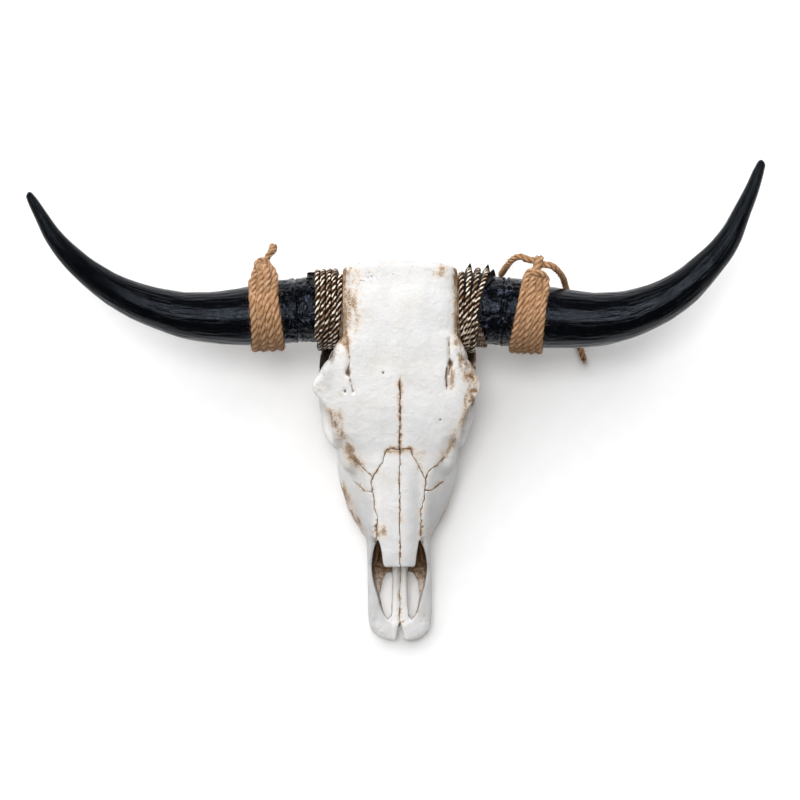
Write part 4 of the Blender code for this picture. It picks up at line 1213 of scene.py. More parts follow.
def add_mesh(name, points, faces, material):
    """An object from (x, s, z) points and faces of four corners."""
    mesh = bpy.data.meshes.new(name)
    mesh.vertices.add(len(points))
    mesh.vertices.foreach_set("co", world(points).astype(np.float32).ravel())
    mesh.loops.add(faces.size)
    mesh.loops.foreach_set("vertex_index", faces[:, ::-1].astype(np.int32).ravel())
    mesh.polygons.add(len(faces))
    mesh.polygons.foreach_set("loop_start", np.arange(0, faces.size, 4, dtype=np.int32))
    mesh.update(calc_edges=True)
    mesh.validate()
    mesh.shade_smooth()
    mesh.materials.append(material)
    thing = bpy.data.objects.new(name, mesh)
    bpy.context.collection.objects.link(thing)
    return thing


def coat(thing, name, values):
    """Give a mesh's points one number, three or four each, under a name that materials read."""
    values = np.asarray(values, np.float32)
    width = 1 if values.ndim == 1 else values.shape[1]
    kind, key = {1: ("FLOAT", "value"), 3: ("FLOAT_VECTOR", "vector"), 4: ("FLOAT_COLOR", "color")}[width]
    thing.data.attributes.new(name, kind, "POINT").data.foreach_set(key, values.ravel())


def own_node(thing, node):
    """Let a piece take the place of the CAD's node."""
    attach(thing, "root")
    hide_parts(node)


# Materials

class Paint:
    """A material and short ways to add to its nodes."""

    def __init__(self, name):
        self.material = bpy.data.materials.new(name)
        self.material.use_nodes = True
        self.nodes = self.material.node_tree.nodes
        self.links = self.material.node_tree.links
        self.surface = self.nodes["Principled BSDF"]

    def put(self, kind, settings=None, **inputs):
        """A new node; an input is named by its label, or _0, _1 and so on by its place."""
        node = self.nodes.new("ShaderNode" + kind)
        for key, value in (settings or {}).items():
            setattr(node, key, value)
        for key, value in inputs.items():
            self.feed(node.inputs[int(key[1:]) if key[1:].isdigit() else key.replace("_", " ")], value)
        return node

    def feed(self, socket, value):
        """Link an output to the socket, or set its value."""
        if isinstance(value, bpy.types.NodeSocket):
            self.links.new(value, socket)
        else:
            socket.default_value = value

    def attribute(self, name, output="Color"):
        """A value that the mesh's points carry."""
        return self.put("Attribute", {"attribute_name": name}).outputs[output]

    def split(self, name):
        """The four numbers that the mesh's points carry under one name."""
        node = self.put("Attribute", {"attribute_name": name})
        parts = self.put("SeparateColor", _0=node.outputs["Color"])
        return [*parts.outputs[:3], node.outputs["Alpha"]]

    def place(self):
        """The place on the object."""
        return self.put("TexCoord").outputs["Object"]

    def noise(self, scale, detail=4.0, vector=None, roughness=0.55, distortion=0.0):
        """A cloudy pattern from 0 to 1."""
        vector = vector or self.place()
        return self.put("TexNoise", Vector=vector, Scale=scale, Detail=detail, Roughness=roughness,
                        Distortion=distortion).outputs["Fac"]

    def cells(self, scale, feature="F1"):
        """A pattern of cells."""
        node = self.put("TexVoronoi", {"feature": feature}, Vector=self.place(), Scale=scale)
        return node.outputs["Distance"]

    def maths(self, operation, a, b=0.0, c=0.0):
        """One sum of up to three values."""
        return self.put("Math", {"operation": operation}, _0=a, _1=b, _2=c).outputs[0]

    def times(self, a, b):
        """a times b."""
        return self.maths("MULTIPLY", a, b)

    def plus(self, value, other, share):
        """A value plus a share of another."""
        return self.maths("MULTIPLY_ADD", other, share, value)

    def stirred(self, value, noise, share):
        """A value that a noise moves up and down."""
        return self.plus(value, self.maths("SUBTRACT", noise, 0.5), share)

    def span(self, value, low, high, to_low=0.0, to_high=1.0):
        """A smooth step between two values."""
        return self.put("MapRange", {"interpolation_type": "SMOOTHSTEP"}, Value=value, From_Min=low,
                        From_Max=high, To_Min=to_low, To_Max=to_high).outputs["Result"]

    def mix(self, share, a, b):
        """A colour between a and b."""
        node = self.put("Mix", {"data_type": "RGBA", "clamp_factor": True})
        self.feed(node.inputs[0], share)
        self.feed(node.inputs[6], a if isinstance(a, bpy.types.NodeSocket) else (*a, 1))
        self.feed(node.inputs[7], b if isinstance(b, bpy.types.NodeSocket) else (*b, 1))
        return node.outputs[2]

    def bump(self, height, distance, strength=1.0, normal=None):
        """The surface's direction with small bumps, over coarser ones if given."""
        node = self.put("Bump", Height=height, Distance=distance, Strength=strength)
        if normal:
            self.feed(node.inputs["Normal"], normal)
        return node.outputs["Normal"]

    def scaled(self, vector, scale):
        """A place stretched along its axes."""
        return self.put("Mapping", Vector=vector, Scale=scale).outputs[0]

    def along(self, scale):
        """The place along the fibres or the horn, stretched."""
        return self.scaled(self.attribute("lay", "Vector"), scale)

    def finish(self, base, roughness, normal, **uniform):
        """The material, from its colour, roughness, bumps and uniform values."""
        self.feed(self.surface.inputs["Base Color"], base)
        self.feed(self.surface.inputs["Roughness"], roughness)
        self.feed(self.surface.inputs["Normal"], normal)
        for key, value in uniform.items():
            self.surface.inputs[key.replace("_", " ")].default_value = value
        return self.material


def tinted(base, *factors):
    """A colour times one factor, or its red, green and blue times three."""
    return tuple(part * factor for part, factor in zip(base, factors * (3 // len(factors))))


def bone_material(settings):
    """Bone that is clean, cool or greyed by painted shade, under a pale wash, gritty ochre, dark specks,
    pores and painted shade in its hollows.
    """
    paint = Paint("weathered bone")
    ochre, dark, porous, crown = paint.split("marks")
    broad = paint.noise(26, 5)
    mottled = paint.noise(150, 6, roughness=0.62)
    grain = paint.noise(900, 4, roughness=0.6)
    speckle = paint.noise(560, 4, roughness=0.72)
    flecks, specks = paint.cells(420.0), paint.cells(160.0)

    cream, cool, grey = (
        tinted(settings.white, *factors)
        for factors in ((0.95, 0.93, 0.89), (0.87, 0.89, 0.92), (0.77, 0.77, 0.78))
    )
    clean = paint.mix(paint.span(broad, 0.45, 0.72), settings.white, cream)
    strokes = paint.noise(34, 4, paint.scaled(paint.place(), (1.0, 0.35, 1.0)))
    clean = paint.mix(paint.times(paint.span(strokes, 0.5, 0.72), 0.5), clean, cool)
    # Painted shade: the clean bone turns grey on the face's flanks, the premaxillae, the nasals, the poll
    # and beside the orbits.
    clean = paint.mix(paint.attribute("painted_shade", "Fac"), clean, grey)

    shift = paint.times(paint.maths("SUBTRACT", paint.noise(240, 3), 0.5), 0.35)
    holed = paint.times(porous, paint.span(paint.noise(48, 3), 0.48, 0.62))
    pore = paint.times(
        paint.span(paint.maths("ADD", flecks, shift), 0.18, 0.04), paint.span(holed, 0.2, 0.7))
    large = paint.times(
        paint.span(paint.maths("ADD", specks, shift), 0.2, 0.07), paint.span(holed, 0.15, 0.6))

    wash = paint.stirred(ochre, mottled, 1.3)
    washed = paint.mix(paint.span(wash, 0.08, 1.3, 0.0, 0.72), clean, settings.wash)
    grit = paint.stirred(paint.times(ochre, 0.85), mottled, 2.2)
    grit = paint.plus(paint.stirred(grit, speckle, 3.2), large, 0.5)
    stained = paint.mix(paint.span(grit, 0.55, 1.75, 0.0, 0.88), washed, settings.ochre)

    # deep holds the dark of cracks, pores and specks, and the painted shade in hollows, the nasal passage,
    # beside the cords and on the shaded ovals.
    deep = paint.stirred(paint.stirred(dark, mottled, 0.9), speckle, 0.7)
    specked = paint.times(paint.span(paint.plus(speckle, ochre, 0.3), 0.74, 0.95), 0.5)
    specked = paint.times(specked, paint.span(ochre, 0.1, 0.6))
    deep = paint.maths("MAXIMUM", paint.span(deep, 0.2, 1.1), specked)
    deep = paint.maths("MAXIMUM", deep, paint.times(paint.maths("MAXIMUM", pore, large), 0.5))
    toothed = paint.mix(paint.span(crown, 0.2, 0.7), stained, settings.enamel)
    base = paint.mix(deep, toothed, settings.brown)
    # Darkness over 1 is the painted shadow in the temple hollows.
    base = paint.mix(paint.span(dark, 1.0, 1.5), base, tinted(settings.brown, 0.1))

    rough = paint.plus(paint.span(mottled, 0.3, 0.75, 0.52, 0.78), crown, -0.25)
    height = paint.plus(paint.plus(mottled, grain, 0.35), speckle, 0.5)
    height = paint.plus(paint.plus(height, pore, -1.2), large, -1.4)
    return paint.finish(base, rough, paint.bump(height, 0.0011, 0.9), Specular_IOR_Level=0.3)


def horn_material(settings):
    """Black horn with worn streaks along it, a wrinkled, hammered zone at its base, and painted highlights
    on that zone's raised facets.
    """
    paint = Paint("black horn")
    rough_zone, along, raised, _ = paint.split("zones")
    streaks = paint.noise(1.0, 5, paint.along((46, 1.6, 1)))
    fine = paint.noise(1.0, 4, paint.along((190, 6, 1)))
    hammered = paint.cells(140.0, "SMOOTH_F1")
    wrinkled = paint.noise(230, 3, roughness=0.55, distortion=1.0)
    worn = paint.times(paint.span(streaks, 0.55, 0.75), 0.55)
    base = paint.mix(worn, settings.black, settings.dust_and_glint)
    # Painted highlights: the hammered zone's raised facets get a colour twenty times brighter than worn
    # horn.
    painted_glint = paint.times(paint.span(wrinkled, 0.5, 0.68), paint.span(raised, -0.65, 0.2))
    base = paint.mix(paint.times(painted_glint, rough_zone), base, tinted(settings.dust_and_glint, 20))
    rough = paint.plus(paint.span(fine, 0.3, 0.75, 0.16, 0.29), along, -0.07)
    rough = paint.plus(rough, rough_zone, -0.12)
    height = paint.plus(streaks, fine, 0.35)
    normal = paint.bump(height, 0.0006, 0.55)
    bumps = paint.times(paint.maths("ADD", hammered, wrinkled), rough_zone)
    return paint.finish(base, rough, paint.bump(bumps, 0.0016, 0.42, normal), Specular_IOR_Level=0.25,
                        Specular_Tint=(0.72, 0.84, 1.0, 1.0))


def leather_material(settings):
    """Black leather with a grain and paler creases."""
    paint = Paint("black leather")
    grain = paint.cells(520.0, "DISTANCE_TO_EDGE")
    creases = paint.noise(140, 5, roughness=0.65, distortion=0.8)
    lighter = tuple(min(1, part * 3.2) for part in settings.leather)
    base = paint.mix(paint.span(creases, 0.5, 0.75), settings.leather, lighter)
    height = paint.plus(paint.span(grain, 0.0, 0.12), creases, 1.2)
    return paint.finish(base, paint.span(creases, 0.3, 0.7, 0.42, 0.66), paint.bump(height, 0.0006, 0.8))


def rope_material(name, colours, steps, rough, fibre, fibre_depth):
    """Twisted strands with painted shade between them, pale on their crests, with fibres along them."""
    dark, middle, pale = colours
    paint = Paint(name)
    crest, _, fuzz, _ = paint.split("strand")
    fibres = paint.noise(1.0, 3, paint.along((0.5, 0.07, 1.0)), roughness=0.7)
    hairs = paint.noise(1.0, 2, paint.along((2.2, 0.2, 1.0)), roughness=0.6)
    height = paint.stirred(paint.stirred(crest, fibres, fibre), hairs, fibre)
    # The dark colour between the strands is painted shade.
    base = paint.mix(paint.span(height, steps[0], steps[1]), dark, middle)
    worn = paint.stirred(height, paint.noise(170, 4), 1.9)
    base = paint.mix(paint.span(worn, steps[2], steps[3]), base, pale)
    base = paint.mix(paint.times(fuzz, 0.5), base, pale)
    return paint.finish(base, rough, paint.bump(paint.plus(fibres, hairs, 0.6), fibre_depth, 0.9))


# Horns and what is wound on them

class Horn:
    """One horn's centre line, thickness and cross directions, by the distance out from the midline."""

    def __init__(self, word):
        self.side = SIDES[word]
        rows = HORN_ROUTES[word]
        self.end = rows[-1][0]
        self.lines = [profile([(row[0], row[k]) for row in rows]) for k in (1, 2)]
        self.radius = profile([(row[0], row[3]) for row in rows])

    def centre(self, out):
        """Points on the centre line."""
        out = np.atleast_1d(out).astype(float)
        return np.column_stack([self.side * out, self.lines[0](out), self.lines[1](out)])

    def cross(self, out):
        """Unit directions towards the poll and up, square to the horn."""
        ahead = unit(self.centre(np.asarray(out) + 2.0) - self.centre(np.asarray(out) - 2.0))
        back = unit(np.column_stack([ahead[:, 1], -ahead[:, 0], np.zeros(len(ahead))]) * self.side)
        up = np.cross(back, ahead) * self.side
        return back, up * np.sign(up[:, 2:3])

    def around(self, out, angle, lift):
        """Points at a height over the horn; angle 0 is towards the poll and a quarter turn is up."""
        out, angle = np.broadcast_arrays(np.atleast_1d(out), angle)
        back, up = self.cross(out)
        reach = (self.radius(out) + lift)[:, None]
        return self.centre(out) + reach * (np.cos(angle)[:, None] * back + np.sin(angle)[:, None] * up)

    def away(self, points):
        """Unit directions off the horn at points beside it."""
        return unit(points - self.centre(np.abs(points[:, 0])))


def rings_round(middle, size, turn, across, over):
    """Rings of points round a line, one row for each of its points."""
    round_ = np.cos(turn)[..., None] * across[:, None, :] + np.sin(turn)[..., None] * over[:, None, :]
    return middle[:, None, :] + size[..., None] * round_


def tube_faces(rows, sides):
    """Faces of a grid of rings."""
    i, j = np.meshgrid(np.arange(rows - 1), np.arange(sides), indexing="ij")
    here, there, k = i * sides, (i + 1) * sides, (j + 1) % sides
    return np.stack([here + j, here + k, there + k, there + j], axis=-1).reshape(-1, 4)


def grid_solid(rings):
    """Points and faces of a tube from (ring, side) points, its ends drawn in to a small last ring."""
    rows, sides, _ = rings.shape
    first, last = rings[0].mean(0), rings[-1].mean(0)
    rings = np.concatenate([first + (rings[:1] - first) * 0.02, rings, last + (rings[-1:] - last) * 0.02])
    return rings.reshape(-1, 3), tube_faces(rows + 2, sides)


# Distance out to the groove round the horn
RING_AT = 142
# How the horn's last points close its tip: distance short of the end, and share of the radius
TIP = ((2.2, 0.93), (1.2, 0.78), (0.5, 0.52), (0.0, 0.2))


def horn_relief(horn, out, turn, space, settings):
    """How far the horn's surface stands off its smooth shape, and the hammered band's zone and relief."""
    def spotted(size, seed):
        return noise(space, size, seed).reshape(out.shape)

    circle = np.stack([np.cos(turn) * 3.2, np.sin(turn) * 3.2, out / 60], axis=-1).reshape(-1, 3)
    ridge = layers(circle * (2.2, 2.2, 1), 0.5, 3, 61) + 0.6 * noise(circle * (9, 9, 2.2), 0.6, 71)
    zone = 0.85 * rise(170 - out, 0, 16) + 0.15 * rise(250 - out, 0, 70)
    swell = spotted(42, 81) * 0.8
    hammered = 0.8 * layers(space, 10, 2, 91) - 1.9 * np.abs(layers(space, 5.5, 2, 95))
    hammer = hammered.reshape(out.shape) * 1.1 * zone
    rings = 0.35 * np.sin(out / 3.1 + 1.5 * spotted(30, 99)) * rise(210 - out, 0, 60)
    off_ring = out - (RING_AT + 1.2 * np.sin(turn * 3))
    deep = settings.groove / MM
    groove = -deep * np.exp(-(off_ring / 1.3) ** 2) + 0.4 * deep * np.exp(-((off_ring - 3.0) / 1.4) ** 2)
    taper = rise(horn.end - out, 0, 40)
    smooth = (ridge.reshape(out.shape) * settings.ridges / MM * 1.6 + swell + rings * 0.6) * taper
    return smooth + hammer + groove, zone, hammer


def make_horn(word, settings, material):
    """A horn from its base to its closed tip."""
    horn = Horn(word)
    sides = settings.sides
    short, share = np.array(TIP).T
    reach = np.arange(HORN_START + 2, horn.end - 0.2, 1.25)
    tip = horn.end + 0.2 - short
    reach = np.concatenate([reach[reach < tip[0] - 0.4], tip])
    out, turn = np.meshgrid(reach, np.linspace(0, math.tau, sides, endpoint=False), indexing="ij")
    middle, (back, up) = horn.centre(reach), horn.cross(reach)
    radius = horn.radius(reach)
    radius[-len(tip):] = radius[-len(tip) - 1] * share
    space = rings_round(middle, radius[:, None], turn, back, up).reshape(-1, 3)
    lift, zone, hammer = horn_relief(horn, out, turn, space, settings)
    size = radius[:, None] + lift * np.clip(radius[:, None] / 12, 0.1, 1)
    points, faces = grid_solid(rings_round(middle, size, turn, back, up))
    if horn.side < 0:
        faces = faces[:, ::-1]
    thing = add_mesh(f"horn_{word}_sheath", points, faces, material)

    def padded(values):
        return np.concatenate([values[:1], values, values[-1:]]).ravel()
    zones = [padded(zone), padded(out / horn.end), padded(hammer), np.ones(len(points))]
    coat(thing, "zones", np.column_stack(zones))
    coat(thing, "lay", np.column_stack([padded(np.cos(turn)), padded(out / 40), padded(np.sin(turn))]))
    own_node(thing, f"horn_{word}")


def frames_along(line):
    """Unit directions along, beside and over a line, without needless twist."""
    ahead = unit(np.gradient(line, axis=0))
    beside = np.cross(ahead[0], (0, 0, 1) if abs(ahead[0][2]) < 0.9 else (1, 0, 0))
    rows = []
    for way in ahead:
        beside = beside - way * (beside @ way)
        beside = beside / np.linalg.norm(beside)
        rows.append(beside)
    beside = np.array(rows)
    return ahead, beside, np.cross(ahead, beside)


class Pile:
    """Points, faces and their colours from many tubes, to be made into one piece."""

    def __init__(self):
        self.points, self.faces, self.strand, self.lay = [], [], [], []
        self.count = 0

    def add(self, rings, crest, lay, fuzz=0.0):
        """One more tube, with its points' height on the strand and place along the fibres, and its fuzz."""
        points, faces = grid_solid(rings)
        rows = len(rings) + 2
        pad = np.concatenate([[0], np.arange(rows - 2), [rows - 3]])
        self.points.append(points)
        self.faces.append(faces + self.count)
        self.count += len(points)
        flat = crest[pad].ravel()
        self.strand.append(np.column_stack([flat, flat * 0, flat * 0 + fuzz, flat * 0 + 1]))
        self.lay.append(lay[pad].reshape(-1, 3))

    def build(self, name, material):
        """The piece."""
        thing = add_mesh(name, np.vstack(self.points), np.vstack(self.faces), material)
        coat(thing, "strand", np.vstack(self.strand))
        coat(thing, "lay", np.vstack(self.lay))
        return thing


def twist(pile, line, diameter, lay, strands=3, sides=12, phase=0.0, seed=1, fill=0.48, yarns=0.03,
          vary_by=0.05, away=None, sunk=(-0.1, 0.75)):
    """A rope of twisted strands along a line; away points off what it lies on, and the rope's sides towards
    it get painted shade.
    """
    _, beside, over = frames_along(line)
    run = run_of(line)
    strand = diameter / 2 * fill
    throw = diameter / 2 - strand
    turn = np.linspace(0, math.tau, sides, endpoint=False)
    drift = noise_along(run, 25.0, seed + 1, seed) * vary_by * 4
    drift = drift + 1.9 * noise_along(run, 110.0, seed + 2, seed)
    girth_at_ends = np.clip(np.minimum(run + 2, run[-1] - run + 2) / 4 + 1, 0.3, 1)
    laid = turn[None, :] - 0.6 * run[:, None] / strand
    yarn = 1 + yarns * np.cos(laid * 4)
    for k in range(strands):
        angle = phase - math.tau * (run / lay + k / strands) + drift
        radial = np.cos(angle)[:, None] * beside + np.sin(angle)[:, None] * over
        vary = 1 + vary_by * noise_along(run, 9.0, seed, k * 9, seed)
        middle = line + throw * radial * vary[:, None]
        forward = unit(np.gradient(middle, axis=0))
        side = unit(np.cross(forward, radial))
        girth = strand * vary * girth_at_ends
        rings = rings_round(middle, girth[:, None] * yarn, turn, np.cross(side, forward), side)
        crest = np.broadcast_to(np.clip(np.cos(turn), 0, 1), rings.shape[:2])
        # Painted shade: the crests dim on the rope's side towards what it lies on, between its turns.
        if away is not None:
            lifted = ((rings - line[:, None, :]) * away[:, None, :]).sum(-1) / (diameter / 2)
            crest = crest * rise(lifted, *sunk)
        runs, lanes = np.broadcast_to(run[:, None], crest.shape), np.full(crest.shape, 17.0 * k + seed)
        pile.add(rings, crest, np.stack([laid * strand, runs, lanes], axis=-1))


def strew_fibres(pile, line, radius, count, seed, reach=(3.0, 9.0)):
    """Loose hairs that lie along a rope's surface and lift off it a little."""
    rng = np.random.default_rng(seed)
    ahead, beside, over = frames_along(line)
    for _ in range(count):
        i = int(rng.integers(2, len(line) - 2))
        angle = rng.uniform(0, math.tau)
        out = math.cos(angle) * beside[i] + math.sin(angle) * over[i]
        round_ = np.cross(ahead[i], out)
        length = rng.uniform(*reach)
        way = ahead[i] * rng.uniform(-1, 1) + round_ * rng.uniform(-0.7, 0.7) + out * rng.uniform(0.02, 0.5)
        way /= np.linalg.norm(way)
        bend = rng.normal(0, 0.35, 3)
        u = np.linspace(0, 1, 5)[:, None]
        hair_tube(pile, line[i] + out * (radius - 0.5) + way * length * u + bend * length * u**2 * 0.6, 0.09)


def hair_tube(pile, path, thick):
    """One hair along a path, half as thick at its end."""
    _, beside, over = frames_along(path)
    turn = np.array([0, math.tau / 3, 2 * math.tau / 3])
    thin = np.linspace(1, 0.5, len(path)) * thick
    rings = rings_round(path, thin[:, None], turn, beside, over)
    marks = np.zeros(rings.shape)
    marks[..., 1] = np.arange(len(path))[:, None]
    pile.add(rings, np.full(rings.shape[:2], 0.8), marks, fuzz=1.0)


def wind(horn, start, end, turns, lift, slant=0.0, bow=0.0, fan=0.0, first=0.0, crossing=0.0, spacing=1.2,
         jitter=0.5, seed=1):
    """A line wound round a horn; slant, bow and fan move its turns outward and apart on the poll side."""
    angle = np.linspace(0, math.tau * turns, int(turns * 400)) + first
    share = (angle - first) / (math.tau * turns)
    wobble = noise(np.column_stack([np.cos(angle), np.sin(angle), angle * 0.9 + seed]), 1.0, seed) * jitter
    uneven = noise(np.column_stack([angle * 1.3, angle * 0, angle * 0 + seed]), 1.0, seed + 3) * jitter * 0.3
    back = np.cos(angle)
    middle = (start + end) / 2
    out = middle + (end - start) * (share - 0.5) * (1 + fan * back) + slant * back + bow * back**2
    out = out + crossing * np.sin(2 * angle) + wobble
    return even(horn.around(out, angle, lift + uneven), spacing)


def make_jute_wrap(word, settings, material):
    """The jute's turns round a horn, with turns under them that fill the gaps."""
    horn, pile = Horn(word), Pile()
    size, lay = settings.jute_diameter / MM * JUTE[word]["thicker"], settings.jute_lay / MM
    (start, end), turns, slant = (JUTE[word][key] for key in ("span", "turns", "slant"))
    spacing = 1.3
    line = wind(horn, start, end, turns, size / 2 - 0.4, slant, fan=-0.09, first=-0.2, spacing=spacing,
                jitter=0.7, seed=4 + horn.side)
    twist(pile, line, size, lay, sides=16, seed=3, phase=0.4, fill=0.56, yarns=0.11,
          away=horn.away(line), sunk=(-0.25, 0.45))
    half = (end - start) / turns / 2
    under = wind(horn, start + half, end - half, turns - 1, size / 2 - 1.9, slant, fan=-0.09, first=-0.2,
                 spacing=spacing * 1.5, jitter=0.7, seed=9 + horn.side)
    twist(pile, under, size * 0.92, lay, sides=8, seed=5, phase=1.4, fill=0.56)
    strew_fibres(pile, line, size / 2, settings.fibres // (1), 12 + horn.side)
    own_node(pile.build(f"jute_wrap_{word}_rope", material), f"jute_wrap_{word}")


# The ropes of each knot: how thick beside the jute rope, and the points they run through
KNOT_ROPES = {
    "right": (
        (1.15, ((-200, 50, 180), (-200, 38, 179), (-199, 26, 175), (-197, 14, 171), (-194, 5, 168),
                (-190, -1, 168))),
        (1.15, ((-173, 50, 180), (-172, 38, 180), (-171, 25, 177), (-173, 14, 173), (-178, 6, 171),
                (-185, 1, 170))),
        (1.15, ((-190, 50, 180), (-190, 37, 181), (-190, 22, 179), (-190, 10, 176), (-190, 2, 172))),
        (1.15, ((-181, 50, 180), (-181, 37, 181), (-181, 22, 180), (-182, 12, 177), (-185, 4, 174))),
        (0.95, ((-196, 10, 168), (-195, 1, 170), (-190, -3.5, 172), (-183, -2, 173), (-179, 5, 172),
                (-182, 11, 175), (-189, 11, 178), (-194, 7, 176), (-194, 1, 172))),
        (0.9, ((-190, 3, 171), (-185, -2.5, 171.5), (-180.5, -8.5, 172), (-176.5, -14.5, 172.5),
               (-174, -18.5, 173))),
    ),
    "left": (
        (1.25, ((183, 28, 173), (184.5, 18, 174), (187, 8, 173.5), (189.5, -1, 172), (191, -8, 171))),
        (1.05, ((168, 50, 180), (169.5, 38, 180), (171, 27, 177), (174, 17, 174), (179, 11.5, 173),
                (186, 10, 173))),
        (1.05, ((196, 50, 179), (198, 38, 179), (199, 28, 176), (196, 20, 174), (190, 15, 173))),
        (1.05, ((177, 50, 180), (179, 38, 181), (181, 26, 179), (184, 16, 176), (187, 9, 173))),
        (1.05, ((186, 50, 180), (189, 38, 181), (189, 26, 179), (188, 16, 176))),
        (0.95, ((200, 24, 171), (197, 18, 177), (190, 14.5, 181), (182, 15, 179), (177, 19, 172))),
        (1.0, ((170, -7, 167.5), (176, -5, 168), (184, -3, 166), (191, 1, 164), (199, 2, 166), (206, 3, 167),
               (212, 6.5, 164))),
    ),
}
KNOT_COVER = 1.08


def make_jute_knot(word, settings, material):
    """A knot over the jute's turns; the right one ends in a frayed stub."""
    pile = Pile()
    size, lay = settings.jute_diameter / MM, settings.jute_lay / MM
    for number, (share, points) in enumerate(KNOT_ROPES[word]):
        line = catmull(points, 1.2)
        twist(pile, line, size * share * KNOT_COVER, lay * 0.8, sides=16, seed=20 + number,
              phase=number * 1.3, fill=0.55, yarns=0.11)
        strew_fibres(pile, line, size * share / 2, 90, 40 + number)
    if word == "right":
        end = np.array(KNOT_ROPES[word][-1][1][-1])
        cap = catmull((end + (-1, 3.5, -1), end + (0.4, -1, 0.2), end + (1.4, -5.0, 0.4)), 1.0)
        twist(pile, cap, size * 1.3, lay * 0.4, seed=31, fill=0.55, yarns=0.11)
        fray(pile, end + (1, -4, 0), np.array((0.2, -0.9, 0.2)), size, 40, 4.0, 33)
    own_node(pile.build(f"jute_knot_{word}_rope", material), f"jute_knot_{word}")


def fray(pile, end, way, size, count, length, seed):
    """A brush of loose fibres at a rope's end."""
    rng = np.random.default_rng(seed)
    way = way / np.linalg.norm(way)
    for _ in range(count):
        off = rng.normal(0, size * 0.2, 3)
        heading = way + rng.normal(0, 0.38, 3)
        u = np.linspace(0, 1, 5)[:, None]
        bend = rng.normal(0, 0.3, 3)
        reach = length * rng.uniform(0.4, 1.0)
        hair_tube(pile, end + off * (1 - u * 0.2) + heading * reach * u + bend * reach * u**2 * 0.5, 0.12)


def make_tail(name, settings, material):
    """A free end of the jute with its loose fibres."""
    size = settings.jute_diameter / MM
    line = catmull(TAILS[name], 1.2)
    pile = Pile()
    lay = settings.jute_lay / MM * 0.75
    twist(pile, line, size, lay, sides=16, seed=50, phase=0.7, fill=0.54, yarns=0.11)
    rope = pile.build(f"{name}_rope", material)
    own_node(rope, name)
    loose = Pile()
    strew_fibres(loose, line, size / 2, 160, 61)
    ahead = line[-1] - line[-4]
    fray(loose, line[-1] - ahead * 0.2, ahead, size * 0.9, 70, 8.0, 62)
    if name == "jute_tail_short":
        middle = len(line) // 3
        fray(loose, line[middle], np.array((0.1, 1.0, -0.2)), size * 0.5, 26, 13.0, 63)
    above_floor = (-1e9, -1e9, 0.3)
    loose.points = [np.maximum(points, above_floor) for points in loose.points]
    fibres = loose.build(f"{name}_fibres", material)
    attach(fibres, "root")
    path = world(line)


def make_base_cord(word, settings, material):
    """The cord round a horn's base, with thin lashings on the left horn."""
    horn, pile = Horn(word), Pile()
    size, lay = settings.cord_diameter / MM, settings.cord_lay / MM
    spacing = 1.2
    lift = BASE_CORD_LIFT
    if word == "left":
        line = wind(horn, 82, 107, 3.6, lift, slant=4.5, bow=4.0, fan=0.6, first=0.5, crossing=0.6,
                    spacing=spacing, jitter=0.7, seed=5)
        over = wind(horn, 108, 92, 0.55, lift + 3.2, slant=5, bow=4.5, fan=0.3, first=1.9, crossing=-1.5,
                    spacing=spacing, jitter=0.8, seed=8)
        for number in range(9):
            out = 98.5 + 3.1 * number
            centre = horn.centre(out)[0, 1]
            top = centre - 12 - max(0, out - 106) * 1.75
            angle = math.acos(max(-1.0, (top - centre) / 50))
            thin = wind(horn, out, out + 0.3, (math.pi + 0.5 - angle) / math.tau, 3.6, first=angle,
                        spacing=spacing * 0.8, jitter=0.15, seed=20 + number)
            twist(pile, thin, 3.3, 5.4, strands=2, sides=7, seed=30 + number)
        cap = catmull(((97, 100, 104), (94, 108, 120), (92, 111, 131), (94, 108, 140)), 1.0)
        twist(pile, cap, size * 1.1, lay, sides=9, seed=44)
    else:
        line = wind(horn, 81.5, 114, 4.3, lift, slant=-3.5, bow=3.5, fan=0.05, first=0.6, crossing=0.4,
                    spacing=spacing, jitter=0.7, seed=15)
        over = wind(horn, 110, 96, 0.42, lift + 3.0, slant=-3.5, bow=3.5, fan=0, first=2.3, crossing=1.8,
                    spacing=spacing, jitter=0.9, seed=18)
    twist(pile, line, size * 0.97, lay, sides=10, seed=6, fill=0.5, vary_by=0.09, away=horn.away(line))
    twist(pile, over, size * 0.93, lay, sides=10, seed=9, fill=0.5, vary_by=0.09, away=horn.away(over))
    own_node(pile.build(f"base_cord_{word}_rope", material), f"base_cord_{word}")


# Tabs of the collar's leather: (out, angle, height, taper)
COLLAR_TABS = {
    "left": ((93, 0.14, 14.5, 0.8), (115, 0.10, 14.0, 0.8), (122.5, 0.34, 11.0, 0.8)),
    "right": ((120, 0.10, 5.5, 0.2), (113, 0.16, 6.0, 0.2), (122, 0.5, 4.0, 0.3)),
}


